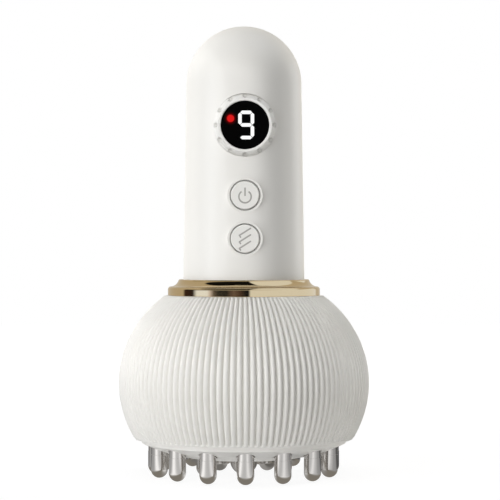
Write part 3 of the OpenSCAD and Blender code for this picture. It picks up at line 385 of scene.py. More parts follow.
def grained_group():
    """Moulded or cast surface: broad, faint clouds in tone and roughness, and a fine grain."""
    tree, have, give = new_group(
        "moulded_grain",
        [("Position", "NodeSocketVector", None), ("Cloud Size", "NodeSocketFloat", 0.02),
         ("Grain Size", "NodeSocketFloat", 0.0004), ("Roughness", "NodeSocketFloat", 0.5),
         ("Spread", "NodeSocketFloat", 0.05)],
        [("Tone", "NodeSocketFloat"), ("Roughness", "NodeSocketFloat"), ("Height", "NodeSocketFloat")])
    n = Nodes(tree)
    sizes = {}
    for label in ("Cloud Size", "Grain Size"):
        scale = n.calc("DIVIDE", 1.0, have[label])
        sizes[label] = n.add("ShaderNodeTexNoise", Vector=have["Position"], Scale=scale,
                             Detail=3.0, Roughness=0.55).outputs["Fac"]
    swing = n.calc("MULTIPLY", n.calc("SUBTRACT", sizes["Cloud Size"], 0.5), have["Spread"])
    fine = n.calc("MULTIPLY", n.calc("SUBTRACT", sizes["Grain Size"], 0.5), have["Spread"])
    tree.links.new(sizes["Cloud Size"], give["Tone"])
    tree.links.new(n.calc("ADD", n.calc("ADD", have["Roughness"], swing), fine, True), give["Roughness"])
    tree.links.new(sizes["Grain Size"], give["Height"])
    return tree


def lined_group():
    """Turned, drawn or wound surface: fine lines across one direction of the position, with wander."""
    tree, have, give = new_group(
        "drawn_lines",
        [("Position", "NodeSocketVector", None), ("Direction", "NodeSocketVector", (0, 0, 1)),
         ("Pitch", "NodeSocketFloat", 0.0003), ("Roughness", "NodeSocketFloat", 0.3),
         ("Spread", "NodeSocketFloat", 0.1)],
        [("Tone", "NodeSocketFloat"), ("Roughness", "NodeSocketFloat"), ("Height", "NodeSocketFloat")])
    n = Nodes(tree)
    along = n.add("ShaderNodeVectorMath", {"operation": "DOT_PRODUCT"},
                  _0=have["Position"], _1=have["Direction"]).outputs["Value"]
    step = n.calc("DIVIDE", along, have["Pitch"])
    lines = n.add("ShaderNodeTexNoise", {"noise_dimensions": "1D"}, W=step, Scale=1.0,
                  Detail=2.0, Roughness=0.6).outputs["Fac"]
    clouds = n.add("ShaderNodeTexNoise", Vector=have["Position"], Scale=90.0, Detail=2.0).outputs["Fac"]
    tone = n.calc("MULTIPLY", n.calc("ADD", lines, clouds), 0.5)
    swing = n.calc("MULTIPLY", n.calc("SUBTRACT", lines, 0.5), have["Spread"])
    tree.links.new(tone, give["Tone"])
    tree.links.new(n.calc("ADD", have["Roughness"], swing, True), give["Roughness"])
    tree.links.new(lines, give["Height"])
    return tree


def shared(name):
    """The shared group of that name, built at its first use."""
    if name not in bpy.data.node_groups:
        {"moulded_grain": grained_group, "drawn_lines": lined_group}[name]()
    return bpy.data.node_groups[name]


def finish(name, colour, roughness, effect="moulded_grain", contrast=0.03, depth=4e-6,
           constants=None, **values):
    """A material: two close tones of one colour, roughness and bump from a shared effect.

    contrast is the share by which the darker tone falls short of the lighter one, depth is the height
    of the bump in metres, constants go to the shader's own sockets, and values to the effect.
    """
    material = bpy.data.materials.new(name)
    material.use_nodes = True
    n = Nodes(material.node_tree)
    shader = material.node_tree.nodes["Principled BSDF"]
    place = n.add("ShaderNodeTexCoord").outputs["Object"]
    group = n.add("ShaderNodeGroup", {"node_tree": shared(effect)},
                  Position=place, Roughness=roughness, **values)
    dark = tuple(c * (1 - contrast) for c in colour)
    tone = n.blend(group.outputs["Tone"], (*dark, 1), (*colour, 1))
    bump = n.add("ShaderNodeBump", Strength=1.0, Distance=depth, Height=group.outputs["Height"])
    links = material.node_tree.links
    links.new(tone, shader.inputs["Base Color"])
    links.new(group.outputs["Roughness"], shader.inputs["Roughness"])
    links.new(bump.outputs["Normal"], shader.inputs["Normal"])
    for key, value in (constants or {}).items():
        shader.inputs[key].default_value = value
    return material


def dress(material, *nodes):
    """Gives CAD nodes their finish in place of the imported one."""
    for name in nodes:
        materials = frame["nodes"][name].data.materials
        materials.clear()
        materials.append(material)


def at(degrees):
    """A bearing as a place on a ramp that goes once round, with the front in its middle."""
    return degrees / 360 + 0.5


METAL = {"Metallic": 1.0}
# The finishes whose pieces mirror the sheen cards
SATIN = ("soft_ivory", "button_cap_plastic", "selector_plastic")


def ivory_finish():
    """The soft-touch ivory of the grip and the globe, made once."""
    if "soft_ivory" not in bpy.data.materials:
        finish("soft_ivory", bpy.context.scene.massager_colours.ivory, 0.34, contrast=0.012, depth=1.5e-6,
               Cloud_Size=0.03, Grain_Size=0.0003, Spread=0.06, constants={"Specular IOR Level": 0.42})
    return bpy.data.materials["soft_ivory"]


# Pieces


# In every step, s is a group of sizes and n adds nodes to a tree


class MASSAGER_OT_globe_cover(bpy.types.Operator):
    """Makes the fluted globe cover with the round ends of its ribs"""
    bl_idname = "massager.globe_cover"
    bl_label = "Globe cover"

    def execute(self, context):
        """The outer face is an oval: at an angle a over the widest part its radius is R cos a and its
        height is belly + H sin a. Across one rib, from groove to groove, u goes from -1 to 1 and the
        surface lies relief * cos(a)^taper * |u|^crown under the crest. At the foot that depth turns
        into the band's even inset, along a line that is scallop * (1 - sqrt(1 - u^2)) over the band.
        At the deck the crests are rounded off by a root of the distance, and one more row of points
        lies on the deck, drawn in behind the deepest groove."""
        s = context.scene.massager_globe
        top = math.asin((s.deck - s.belly) / s.rise)
        low = -math.asin((s.belly - s.lip) / s.drop)
        across = np.array([-1, -0.86, -0.66, -0.38, 0, 0.38, 0.66, 0.86])
        columns = len(across) * s.ribs
        u = np.tile(across, s.ribs)
        t = FRONT + TURN * (np.repeat(np.arange(s.ribs), len(across)) + u / 2) / s.ribs
        groove = np.abs(u) ** s.crown
        lag = 1 - np.sqrt(np.clip(1 - u * u, 0, 1))

        # Distance along the meridian from the lower edge, by fine steps
        fine = np.linspace(low, top, 4000)
        half = np.where(fine > 0, s.rise, s.drop)
        step = np.hypot(s.radius * np.sin(fine), half * np.cos(fine)) * (fine[1] - fine[0])
        walked = np.concatenate([[0], np.cumsum((step[1:] + step[:-1]) / 2)])
        whole = walked[-1]
        # The rows of points are closer together over this stretch at both ends of the ribs
        ends, low_rows, middle_rows, top_rows = 0.0032, 15, 46, 13
        places = np.concatenate([np.linspace(0, ends, low_rows),
                                 np.linspace(ends, whole - ends, middle_rows)[1:-1],
                                 np.linspace(whole - ends, whole, top_rows)])
        a = np.interp(places, walked, fine)[:, None]
        half = np.where(a > 0, s.rise, s.drop)
        from_low = smooth((places[:, None] - s.band - s.scallop * lag[None]) / s.foot_rise)
        # At the deck the root is at the half, and a groove drops half as far as a crest
        at_deck, in_groove = 0.25, 0.5
        from_top = np.sqrt(np.clip((whole - places[:, None]) / s.top_round + at_deck, 0, 1))
        depth = s.relief * np.cos(a) ** s.taper * groove[None]
        inset = from_low * depth + (1 - from_low) * s.band_inset
        inset = inset + (1 - from_top) * s.top_drop * (1 - in_groove * groove)
        radius = (s.radius - inset) * np.cos(a) * np.ones((1, columns))
        height = s.belly + (half - inset) * np.sin(a)
        height[0] = s.lip
        radius = np.vstack([radius, np.full((1, columns), radius[-1].min() - s.tuck)])
        height = np.vstack([height, np.full((1, columns), s.deck)])
        outer = np.stack([radius * np.cos(t), radius * np.sin(t), height], axis=-1)

        under = s.deck - s.deck_wall
        inner_low = s.lip + s.land_height
        inner_rows = 12
        high = np.arcsin((under - s.belly) / (s.rise - s.wall))
        deep = np.arcsin((inner_low - s.belly) / (s.drop - s.wall))
        b = np.linspace(high, deep, inner_rows)
        inner = np.stack([(s.radius - s.wall) * np.cos(b),
                          s.belly + (np.where(b > 0, s.rise, s.drop) - s.wall) * np.sin(b)], axis=-1)
        profile = np.concatenate([[[s.bore, s.deck], [s.bore, under]], inner,
                                  [[s.land, inner_low], [s.land, s.lip]]])
        inside = np.stack([profile[:, :1] * np.cos(t), profile[:, :1] * np.sin(t),
                           np.repeat(profile[:, 1:], columns, axis=1)], axis=-1)
        points = np.concatenate([outer, inside]).reshape(-1, 3)
        quads = grid_faces(len(outer) + len(inside), columns, True)
        surface = (points, *outward(points, quads, NO_FANS))
        make_piece("fluted_globe", surface, ivory_finish(), "root", ["globe_cover"],
                   sharp=50)
        return {"FINISHED"}


class MASSAGER_OT_collar(bpy.types.Operator):
    """Makes the polished collar between grip and globe"""
    bl_idname = "massager.collar"
    bl_label = "Collar"

    def execute(self, context):
        """A turned profile: upright band, quarter round over it, hollow sweep, quarter round, flat top,
        and a channel in the foot for the seal."""
        s = context.scene.massager_collar
        foot = context.scene.massager_globe.deck
        centre = (s.radius - s.sweep_inset, s.band + s.edge + s.sweep)
        end = 180 + math.degrees(math.acos((centre[0] - s.top) / s.sweep))
        seal = s.channel + s.channel_wide
        small = 0.08 * MM
        # Two rows near the ends of the upright band keep its shading flat
        band_low, band_high = 0.14 * MM, s.band - 0.1 * MM
        profile = np.concatenate([
            [[s.bore, 0], [s.channel, 0], [s.channel, s.channel_deep], [seal, s.channel_deep], [seal, 0],
             [s.radius - small, 0]],
            arc((s.radius - small, small), small, -90, 0, 4)[1:],
            [[s.radius, band_low], [s.radius, band_high]],
            arc((s.radius - s.edge, s.band), s.edge, 0, 88, 24),
            arc(centre, s.sweep, 268, end, 24),
            arc((s.top - s.top_edge, s.height - s.top_edge), s.top_edge, 4, 90, 9),
            [[s.bore, s.height]],
        ]) + [0, foot]
        gold = finish("polished_gold", context.scene.massager_colours.gold, 0.055, contrast=0.03,
                      depth=2e-7, Cloud_Size=0.012, Grain_Size=0.001, Spread=0.03, constants=METAL)
        make_piece("champagne_collar", turned(profile, s.sides), gold, "root",
                   ["gold_collar"], sharp=30)
        return {"FINISHED"}


class MASSAGER_OT_prongs(bpy.types.Operator):
    """Makes the centre, inner and outer prongs"""
    bl_idname = "massager.prongs"
    bl_label = "Prongs"

    def prong(self, s, radius, flange, sides):
        """A turned prong: hemisphere, body, slimmer shank, flange and stud."""
        slim = radius - s.shank_step
        flange_top = s.seat + s.flange
        # Rows this near to the body's ends keep its shading straight
        near = 0.1 * MM
        return turned(np.concatenate([
            [[0, 0]],
            arc((0, radius), radius, -83, 0, 13),
            [[radius, radius + near], [radius, s.shank_low - near], [radius, s.shank_low],
             [slim, s.shank_low + near / 2], [slim, s.seat], [flange, s.seat], [flange, flange_top],
             [s.stud, flange_top], [s.stud, s.stud_top], [0, s.stud_top]],
        ]), sides)

    def execute(self, context):
        """Copies of one turned prong on each ring, the first ones in front."""
        s = context.scene.massager_prongs
        steel = finish("polished_prong_steel", context.scene.massager_colours.steel, 0.07,
                       contrast=0.06, depth=3e-7, Cloud_Size=0.006, Grain_Size=0.0006, Spread=0.03,
                       constants=METAL)
        one = self.prong(s, s.radius, s.radius + s.flange_lip, sides=40)
        wide = self.prong(s, s.centre, s.centre + s.centre_lip, sides=56)
        inner = copies(one, ring_places(s.inner_count, s.inner_ring))
        outer = copies(one, ring_places(s.outer_count, s.outer_ring))
        for name, surface, node in (("middle_prong", wide, "centre_prong"),
                                    ("ring_of_inner_prongs", inner, "inner_prongs"),
                                    ("ring_of_outer_prongs", outer, "outer_prongs")):
            make_piece(name, surface, steel, "root", [node], sharp=30)
        return {"FINISHED"}


class MASSAGER_OT_selector_ring(bpy.types.Operator):
    """Makes the notched ring that turns round the display"""
    bl_idname = "massager.selector_ring"
    bl_label = "Selector ring"

    def execute(self, context):
        """A turned profile round the display's centre, whose front is lowered inside each notch. With d
        the distance from the notch's centre and r the notch's radius, the front stands no higher over
        the notch's floor than bowl * d^2 / r inside it, and wall * (d - r) higher than that round it.
        A mask on the points, 1 in a notch and 0 a little way round it, gives the notches a painted shade:
        their base colour darkens where the recess would be in shadow."""
        s = context.scene.massager_ring
        colours = context.scene.massager_colours
        bevel, inner_round = 0.1 * MM, 0.3 * MM
        crown = s.outer - 0.35 * MM
        rim = crown - 0.15 * MM
        shoulder = s.front - 1.0 * MM
        flat = s.inner + 0.85 * MM
        cone = np.linspace([rim, shoulder], [flat + 0.3 * MM, s.front - 0.075 * MM], 16)
        profile = np.concatenate([
            [[s.inner, s.sleeve_back], [s.sleeve, s.sleeve_back], [s.sleeve, s.back],
             [s.rim - bevel, s.back], [s.rim, s.back + bevel], [s.rim, s.base - 0.08 * MM],
             [s.rim - 0.03 * MM, s.base], [s.rim - bevel, s.base + 0.05 * MM]],
            np.linspace([crown, s.base + 0.35 * MM], [rim + 0.02 * MM, shoulder - 0.12 * MM], 7),
            cone,
            [[flat + 0.15 * MM, s.front - 0.02 * MM], [flat, s.front], [s.inner + inner_round, s.front]],
            arc((s.inner + inner_round, s.front - inner_round), inner_round, 90, 180, 5)[1:],
            [[s.inner, s.front - 1.2 * MM]],
        ])
        # Points are close together up to a quarter of a notch's radius outside it
        reach = 1.25 * s.notch / rim
        close, wide = 19, 8
        local = np.concatenate([np.linspace(-reach, reach, close),
                                np.linspace(reach, TURN / s.notches - reach, wide)[1:-1]])
        t = (math.pi / 2 + TURN * np.arange(s.notches)[:, None] / s.notches + local[None]).ravel()
        off = np.tile(local, s.notches)
        r, f = profile[:, :1], profile[:, 1:] * np.ones((1, len(t)))
        centre = crown - 0.075 * MM
        d = np.hypot(r * np.cos(off) - centre, r * np.sin(off))
        floor = s.base + s.notch_floor
        wall = np.clip(d - s.notch, 0, None) * s.notch_wall
        bowl = s.notch_bowl * np.clip(d, 0, s.notch) ** 2 / s.notch
        f = np.where(profile[:, 1:] > floor, np.minimum(f, floor + wall + bowl), f)
        points = to_front(np.stack([r * np.cos(t), r * np.sin(t), f], axis=-1).reshape(-1, 3), s.height)
        quads = grid_faces(len(profile), len(t), True)
        surface = (points, *outward(points, quads, NO_FANS))
        white = finish("selector_plastic", colours.selector, 0.34, contrast=0.012,
                       depth=1e-6, Cloud_Size=0.01, Grain_Size=0.0003, Spread=0.05)
        ring = make_piece("notched_ring", surface, white, "selector",
                          ["selector_ring"], sharp=28)
        # Painted shade: in and round each notch the base colour is darkened towards the notch shade colour
        fade, strength = 0.35 * MM, 0.42
        notch_painted_shade = np.clip(1 - (d - s.notch) / fade, 0, 1) * (profile[:, 1:] > s.base)
        ring.data.attributes.new("notch_painted_shade", "FLOAT", "POINT").data.foreach_set("value", notch_painted_shade.ravel())
        n = Nodes(white.node_tree)
        shader = white.node_tree.nodes["Principled BSDF"]
        tone = shader.inputs["Base Color"].links[0].from_socket
        mark = n.add("ShaderNodeAttribute", {"attribute_name": "notch_painted_shade"}).outputs["Fac"]
        shaded = n.blend(n.calc("MULTIPLY", mark, strength), tone, (*colours.notch_painted_shade, 1))
        white.node_tree.links.new(shaded, shader.inputs["Base Color"])
        return {"FINISHED"}


class MASSAGER_OT_grip(bpy.types.Operator):
    """Gives the shells, the underside, the screw caps and the port their finishes"""
    bl_idname = "massager.grip"
    bl_label = "Grip and underside"

    def execute(self, context):
        """The ivory pieces share one soft-touch finish; the port is drawn steel."""
        dress(ivory_finish(), "handle_front_shell", "handle_rear_shell", "screw_caps", "base_plate")
        colour = context.scene.massager_colours.port
        port = finish("drawn_port_steel", colour, 0.25, "drawn_lines", 0.15, 1e-6, METAL,
                      Direction=(0, 1, 0), Pitch=0.0004)
        dress(port, "charging_port")
        return {"FINISHED"}


class MASSAGER_OT_buttons(bpy.types.Operator):
    """Gives the two button caps and their signs their finishes"""
    bl_idname = "massager.buttons"
    bl_label = "Buttons"

    def execute(self, context):
        """Fine-grained caps with printed signs sunk in them."""
        colours = context.scene.massager_colours
        cap = finish("button_cap_plastic", colours.cap, 0.42, contrast=0.012, depth=1.5e-6,
                     Cloud_Size=0.01, Grain_Size=0.00025, Spread=0.05)
        ink = finish("sign_ink", colours.icon, 0.5, contrast=0.1, depth=1e-6,
                     Cloud_Size=0.002, Grain_Size=0.0002, Spread=0.08)
        dress(cap, "power_button", "mode_button")
        dress(ink, "power_icon", "mode_icon")
        return {"FINISHED"}


class MASSAGER_OT_display(bpy.types.Operator):
    """Gives the window, the digit and the lamp their finishes"""
    bl_idname = "massager.display"
    bl_label = "Display"

    def glow(self, material, colour, mask, strength):
        """Light of a colour where the mask is."""
        n = Nodes(material.node_tree)
        shader = material.node_tree.nodes["Principled BSDF"]
        light = n.blend(mask, (0, 0, 0, 1), (*colour, 1))
        material.node_tree.links.new(light, shader.inputs["Emission Color"])
        shader.inputs["Emission Strength"].default_value = strength

    def distance(self, material, centre, radius):
        """How far a point is from a centre, as a share of a radius."""
        n = Nodes(material.node_tree)
        place = n.add("ShaderNodeTexCoord").outputs["Object"]
        away = n.add("ShaderNodeVectorMath", {"operation": "DISTANCE"}, _0=place, _1=centre)
        return n, n.calc("DIVIDE", away.outputs["Value"], radius)

    def execute(self, context):
        """The window glows faintly round the lamp; the lamp is brightest in its middle."""
        colours = context.scene.massager_colours
        halo_reach, lamp_reach, digit_reach = 2.9 * MM, 1.5 * MM, 12 * MM
        low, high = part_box("level_lamp")
        lamp_centre = ((low.x + high.x) / 2, low.y, (low.z + high.z) / 2)
        window = finish("window_acrylic", colours.window, 0.09, contrast=0.2, depth=1e-7,
                        Cloud_Size=0.01, Grain_Size=0.001, Spread=0.02)
        n, share = self.distance(window, lamp_centre, halo_reach)
        halo = n.ramp(share, [(0.45, 1.0), (0.62, 0.22), (0.8, 0.04), (1.0, 0.0)])
        self.glow(window, colours.lamp, halo, 0.35)
        digit = finish("lit_digit", (0.03, 0.03, 0.03), 0.5, contrast=0.02, depth=0,
                       Cloud_Size=0.003, Grain_Size=0.0004)
        low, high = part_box("digit_segments")
        centre = ((low.x + high.x) / 2, low.y, (low.z + high.z) / 2)
        n, share = self.distance(digit, centre, digit_reach)
        self.glow(digit, colours.digit, n.ramp(share, [(0.0, 1.0), (1.0, 0.92)]), 1.0)
        lamp = finish("lit_lamp", (0.06, 0.004, 0.004), 0.4, contrast=0.1, depth=0,
                      Cloud_Size=0.003, Grain_Size=0.0004, constants={"Specular IOR Level": 0.15})
        n, share = self.distance(lamp, lamp_centre, lamp_reach)
        self.glow(lamp, colours.lamp, n.ramp(share, [(0.0, 1.0), (0.7, 0.95), (1.0, 0.72)]), 0.9)
        dress(window, "display_window")
        dress(digit, "digit_segments")
        dress(lamp, "level_lamp")
        return {"FINISHED"}


class MASSAGER_OT_works(bpy.types.Operator):
    """Gives every piece inside the massager its finish"""
    bl_idname = "massager.works"
    bl_label = "Inner works"

    def execute(self, context):
        """One finish for each kind of inner piece."""
        along_z, along_x = (0, 0, 1), (1, 0, 0)
        drawn, cast = "drawn_lines", "moulded_grain"
        table = (
            ("screw_steel_finish", (0.55, 0.55, 0.56), 0.3, drawn, 0.12, METAL,
             {"Direction": along_z, "Pitch": 0.0002},
             ("shell_screws", "neck_screws", "bracket_screws", "motor_screws", "board_screws",
              "display_screws", "prong_nuts", "motor_can", "motor_shaft", "ring_retainer",
              "heat_sensors")),
            ("bracket_steel_finish", (0.4, 0.4, 0.42), 0.38, cast, 0.15, METAL, {"Cloud_Size": 0.008},
             ("neck_plate", "motor_bracket", "eccentric_weight", "motor_rotor")),
            ("rolled_aluminium", (0.72, 0.72, 0.73), 0.35, drawn, 0.1, METAL,
             {"Direction": along_x, "Pitch": 0.0005},
             ("heat_plate",)),
            ("amber_film", (0.55, 0.26, 0.05), 0.35, cast, 0.15, None, {"Cloud_Size": 0.004},
             ("heater_film", "display_ribbon")),
            ("pressed_felt", (0.42, 0.40, 0.37), 0.95, cast, 0.35, None,
             {"Cloud_Size": 0.0015, "Grain_Size": 0.0003},
             ("insulation_pad",)),
            ("board_laminate", (0.03, 0.16, 0.06), 0.4, cast, 0.2, None, {"Cloud_Size": 0.002},
             ("main_board", "display_board", "port_board")),
            ("black_moulding", (0.02, 0.02, 0.022), 0.5, cast, 0.3, None, {"Cloud_Size": 0.01},
             ("display_module", "display_barrel", "power_plunger", "mode_plunger", "switch_bodies",
              "board_components", "battery_cradle")),
            ("natural_moulding", (0.7, 0.68, 0.62), 0.45, cast, 0.06, None, {"Cloud_Size": 0.01},
             ("motor_end_cap", "button_guide")),
            ("seal_rubber_finish", (0.045, 0.045, 0.047), 0.8, cast, 0.3, None, {"Cloud_Size": 0.004},
             ("collar_seal", "ring_washer")),
            ("sintered_magnet", (0.16, 0.16, 0.17), 0.45, cast, 0.3, METAL, {"Cloud_Size": 0.002},
             ("motor_magnets", "ring_magnet")),
            ("oiled_bronze", (0.5, 0.3, 0.12), 0.4, drawn, 0.2, METAL, {"Direction": along_z},
             ("motor_bushes",)),
            ("cell_sleeve", (0.03, 0.12, 0.32), 0.32, cast, 0.12, None, {"Cloud_Size": 0.015},
             ("battery_cell",)),
            ("red_insulation", (0.5, 0.02, 0.02), 0.45, cast, 0.2, None, {"Cloud_Size": 0.003},
             ("power_leads", "heater_leads")),
            ("black_insulation", (0.015, 0.015, 0.015), 0.45, cast, 0.3, None, {"Cloud_Size": 0.003},
             ("motor_leads",)),
        )
        for name, colour, roughness, effect, contrast, constants, values, nodes in table:
            made = finish(name, colour, roughness, effect, contrast, constants=constants, **values)
            dress(made, *nodes)
        return {"FINISHED"}


class MASSAGER_OT_studio(bpy.types.Operator):
    """Makes the floor, the light and the camera"""
    bl_idname = "massager.studio"
    bl_label = "Studio"

    def bearing(self, n, x, y):
        """The angle round the object, 0.5 in front, growing to the right, from 0 to 1."""
        angle = n.calc("ARCTAN2", x, n.calc("MULTIPLY", y, -1.0))
        return n.calc("ADD", n.calc("DIVIDE", angle, TURN), 0.5)

    def lamp(self, name, place, turn, size, power, colour):
        """A rectangular lamp of a size and power, which polished metal doesn't mirror."""
        light = bpy.data.lights.new(name, "AREA")
        light.shape, light.size, light.size_y = "RECTANGLE", *size
        light.energy, light.color = power, colour
        lamp = bpy.data.objects.new(name, light)
        lamp.location, lamp.rotation_euler = place, turn
        lamp.visible_glossy = False
        bpy.context.scene.collection.objects.link(lamp)
        return lamp

    def upright(self, name, bearing, middle, size, power, colour):
        """An upright lamp that faces the axis from a bearing, with its centre at the height middle."""
        a, away = math.radians(bearing), 1.2
        place = (away * math.sin(a), -away * math.cos(a), middle)
        return self.lamp(name, place, (math.pi / 2, 0, a), size, power, colour)

    def lamps(self, level):
        """A wide soft key lamp and three tall strips, at bearings of 0 degrees in front and growing to
        the right, and one square overhead. Each gives its share of the light level."""
        middle, tall = 0.1, 2.6
        neutral, warm = (1.0, 1.0, 1.0), (1.0, 0.975, 0.92)
        for name, bearing, share, wide, colour in (
                ("wide_key", -55, 1.14, 1.5, neutral), ("left_rim_strip", -115, 0.34, 0.3, neutral),
                ("front_strip", 5, 0.28, 0.3, warm), ("right_rim_strip", 123, 0.86, 0.3, warm)):
            self.upright(name, bearing, middle, (wide, tall), share * level, colour)
        over, side, share = 1.3, 0.8, 0.2
        self.lamp("overhead_square", (0, 0, over), (0, 0, 0), (side, side), share * level, neutral)

    def sheen_cards(self, sheen):
        """Two upright cards that give only the satin plastic pieces a soft sheen: a wide one in front,
        whose right end makes the sheen stop at the right of the middle, and a dim one at the left."""
        satin = bpy.data.collections.new("satin_pieces")
        for thing in bpy.context.scene.objects:
            if thing.type == "MESH" and thing.data.materials[0].name in SATIN:
                satin.objects.link(thing)
        middle, tall = -0.7, 3.4
        for name, bearing, share, wide in (
                ("sheen_card", -22, 1.0, 3.6), ("left_sheen_card", -125, 0.2, 2.4)):
            power = share * sheen * math.pi * wide * tall
            card = self.upright(name, bearing, middle, (wide, tall), power, (1.0, 1.0, 1.0))
            card.visible_glossy, card.visible_diffuse, card.visible_camera = True, False, False
            card.light_linking.receiver_collection = satin

    def surroundings(self, settings):
        """White behind the object; polished metal shows grey walls with cards. The cards stand in three
        bands by the height of the mirrored ray, low, middle and upper, and an oval overhead is dark on
        the left and bright on the right."""
        world = bpy.data.worlds.new("studio")
        bpy.context.scene.world = world
        world.use_nodes = True
        n = Nodes(world.node_tree)
        way = n.add("ShaderNodeTexCoord").outputs["Generated"]
        axes = n.add("ShaderNodeSeparateXYZ", Vector=way).outputs
        bearing = self.bearing(n, axes["X"], axes["Y"])

        def at_share(share):
            """A share of the ceiling's height to the right as a place on a ramp 4 shares wide."""
            return share / 4 + 0.5

        dark, wall, bright, window = 0.008, (0.66, 0.61, 0.52), (1.04, 1.12, 1.28), (1.18, 1.35, 1.75)
        low_cards = n.ramp(bearing, [
            (0.0, wall), (at(-106), wall), (at(-101), (0.06, 0.03, 0.02)), (at(-84), (0.04, 0.03, 0.03)),
            (at(-76), window), (at(-58), window), (at(-54), (0.9, 0.9, 1.1)), (at(-47), (0.17, 0.15, 0.15)),
            (at(-40), 0.05), (at(-27), 0.03), (at(-16), (0.2, 0.15, 0.14)), (at(-6), (0.09, 0.06, 0.05)),
            (at(1), 0.02), (at(6), dark), (at(9), bright), (at(136), bright), (at(142), wall)])
        middle_cards = n.ramp(bearing, [
            (0.0, wall), (at(-106), wall), (at(-101), dark), (at(6), dark), (at(9), bright),
            (at(136), bright), (at(142), wall)])
        dusk = (0.5, 0.45, 0.36)
        upper_cards = n.ramp(bearing, [
            (0.0, wall), (at(-85), wall), (at(-76), 1.0), (at(6), 1.0), (at(12), dusk), (at(90), dusk),
            (at(120), wall)])
        # Seen from the object, the ceiling is a plane: across and back are its shares of the height
        flattest = 0.05
        up = n.calc("MAXIMUM", axes["Z"], flattest)
        across = n.calc("DIVIDE", axes["X"], up)
        back = n.calc("DIVIDE", axes["Y"], up)
        high_cards = n.ramp(n.calc("ADD", n.calc("DIVIDE", across, 4.0), 0.5), [
            (0.0, dark), (at_share(0.17), dark), (at_share(0.21), bright)])
        # The oval's middle lies this far to the right and in front, and these are its half widths
        right, front, half_wide, half_deep = 0.6, 0.4, 1.85, 0.95
        crisp, lowest = 6.0, 0.3
        wide = n.calc("POWER", n.calc("DIVIDE", n.calc("SUBTRACT", across, right), half_wide), 2.0)
        deep = n.calc("POWER", n.calc("DIVIDE", n.calc("ADD", back, front), half_deep), 2.0)
        inside = n.calc("SUBTRACT", 1.0, n.calc("ADD", wide, deep))
        overhead = n.calc("MULTIPLY", n.calc("MULTIPLY", inside, crisp, True),
                          n.calc("GREATER_THAN", axes["Z"], lowest))
        low_band = n.ramp(axes["Z"], [(0.0, 1.0), (0.1, 1.0), (0.15, 0.0)])
        middle_band = n.ramp(axes["Z"], [(0.0, 1.0), (0.36, 1.0), (0.4, 0.0)])
        upper_band = n.ramp(axes["Z"], [(0.0, 1.0), (0.5, 1.0), (0.54, 0.0)])
        walls = n.blend(upper_band, (*wall, 1), upper_cards)
        walls = n.blend(low_band, n.blend(middle_band, walls, middle_cards), low_cards)
        mirrored = n.blend(overhead, walls, high_cards)
        rays = n.add("ShaderNodeLightPath").outputs
        direct = n.calc("MAXIMUM", rays["Is Camera Ray"], rays["Is Transmission Ray"])
        seen = n.blend(rays["Is Glossy Ray"], (settings.ambient,) * 3 + (1,), mirrored)
        colour = n.blend(direct, seen, (1, 1, 1, 1))
        background = world.node_tree.nodes["Background"]
        world.node_tree.links.new(colour, background.inputs["Color"])

    def floor(self):
        """A flat disc whose finish is white to the camera and keeps the object's soft shadow."""
        middle, rim, below = 0.5, 1.6, 0.0002
        points, quads, fans = turned([(0, 0), (middle, 0), (rim, 0)], 96)
        mesh = bpy.data.meshes.new("floor")
        mesh.from_pydata((points - [0, 0, below]).tolist(), [], quads.tolist() + fans.tolist())
        material = bpy.data.materials.new("pale_floor")
        material.use_nodes = True
        n = Nodes(material.node_tree)
        material.node_tree.nodes.remove(material.node_tree.nodes["Principled BSDF"])
        out = material.node_tree.nodes["Material Output"]
        place = n.add("ShaderNodeTexCoord").outputs["Object"]
        axes = n.add("ShaderNodeSeparateXYZ", Vector=place).outputs
        bearing = self.bearing(n, axes["X"], axes["Y"])
        away = n.add("ShaderNodeVectorMath", {"operation": "LENGTH"}, _0=place).outputs["Value"]
        stripes = n.ramp(bearing, [(at(degrees), shade) for degrees, shade in (
            (-180, 0.5), (-146, 0.2), (-114, 0.2), (-104, 0.42), (-72, 0.5), (-60, 1.0), (-52, 1.3),
            (-40, 1.22), (-30, 0.85), (-20, 0.68), (-3, 0.65), (7, 0.85), (16, 1.05), (25, 0.95),
            (35, 0.7), (46, 0.6), (59, 0.42), (84, 0.36), (98, 0.1), (128, 0.12), (140, 0.42),
            (180, 0.5))])
        # Ramps over the distance from the axis, each with its own reach in metres
        painted_shadow_reach, bounce_reach, far_reach = 0.1, 0.3, 2.0
        # Painted shadow: mirror rays see a dark brownish grey near the axis, darkest from 37 to 43 mm out,
        # where the object would shade the floor; further out they see the stripes
        near = n.ramp(n.calc("DIVIDE", away, painted_shadow_reach), [
            (0.0, 0.7), (0.3, 0.6), (0.37, 0.0), (0.43, 0.0), (0.52, 1.0)])
        mirrored = n.blend(near, (0.27, 0.25, 0.215, 1), stripes)
        rays = n.add("ShaderNodeLightPath").outputs
        direct = n.calc("MAXIMUM", rays["Is Camera Ray"], rays["Is Transmission Ray"])
        body = n.blend(direct, (0.2, 0.2, 0.2, 1), (0.15, 0.15, 0.15, 1))
        body = n.blend(rays["Is Glossy Ray"], body, (0, 0, 0, 1))
        bounce = n.ramp(n.calc("DIVIDE", away, bounce_reach), [(0.3, 0.28), (1.0, 0.0)])
        light = n.blend(rays["Is Glossy Ray"], bounce, mirrored)
        far = n.ramp(n.calc("DIVIDE", away, far_reach), [(0.1, 0.9), (0.3, 1.0)])
        light = n.blend(direct, light, far)
        matte = n.add("ShaderNodeBsdfDiffuse", Color=body)
        glow = n.add("ShaderNodeEmission", Color=light)
        both = n.add("ShaderNodeAddShader", _0=matte.outputs[0], _1=glow.outputs[0])
        material.node_tree.links.new(both.outputs[0], out.inputs["Surface"])
        mesh.materials.append(material)
        floor = bpy.data.objects.new("floor", mesh)
        floor.visible_shadow = False
        bpy.context.scene.collection.objects.link(floor)

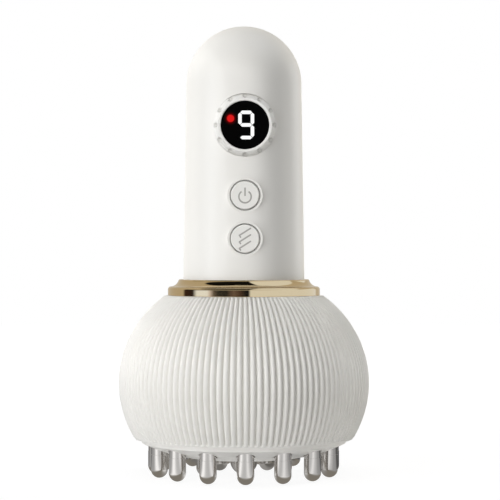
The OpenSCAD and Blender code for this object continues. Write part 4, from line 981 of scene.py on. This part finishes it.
    def execute(self, context):
        """The lamps, the surroundings, the floor, and a level camera with a long lens."""
        s = context.scene.massager_studio
        self.lamps(s.level)
        self.sheen_cards(s.sheen)
        self.surroundings(s)
        self.floor()
        data = bpy.data.cameras.new("camera")
        data.lens, data.sensor_width, data.shift_x = s.lens, s.sensor, s.shift
        camera = bpy.data.objects.new("camera", data)
        camera.location = (-s.distance * math.sin(s.turn), -s.distance * math.cos(s.turn), s.eye)
        camera.rotation_euler = (math.pi / 2, 0, -s.turn)
        context.scene.collection.objects.link(camera)
        context.scene.camera = camera
        context.scene.view_settings.view_transform = "Standard"
        return {"FINISHED"}


OPERATORS = (
    MASSAGER_OT_globe_cover,
    MASSAGER_OT_collar,
    MASSAGER_OT_prongs,
    MASSAGER_OT_selector_ring,
    MASSAGER_OT_grip,
    MASSAGER_OT_buttons,
    MASSAGER_OT_display,
    MASSAGER_OT_works,
    MASSAGER_OT_studio,
)


class MASSAGER_PT_sidebar(bpy.types.Panel):
    """Lists the sizes, the colours and the steps in the 3D view's sidebar"""
    bl_idname = "MASSAGER_PT_sidebar"
    bl_label = "Back and leg massager"
    bl_space_type = "VIEW_3D"
    bl_region_type = "UI"
    bl_category = "Massager"

    def draw(self, context):
        """One box for each group of sizes, then one button for each step."""
        for key, group in GROUPS.items():
            box = self.layout.box()
            box.label(text=group.__name__.replace("Massager", ""))
            for name in group.__annotations__:
                box.prop(getattr(context.scene, key), name)
        for operator in OPERATORS:
            self.layout.operator(operator.bl_idname)


CLASSES = (*GROUPS.values(), *OPERATORS, MASSAGER_PT_sidebar)


def register():
    """Registers the classes and hangs the sizes and colours on the scene."""
    for each in CLASSES:
        bpy.utils.register_class(each)
    for key, group in GROUPS.items():
        setattr(bpy.types.Scene, key, PointerProperty(type=group))


def unregister():
    """Takes away what register has added."""
    for key in GROUPS:
        delattr(bpy.types.Scene, key)
    for each in reversed(CLASSES):
        bpy.utils.unregister_class(each)


def main():
    """Runs every step in order."""
    register()
    for operator in OPERATORS:
        family, step = operator.bl_idname.split(".")
        getattr(getattr(bpy.ops, family), step)()


if __name__ == "__main__":
    main()
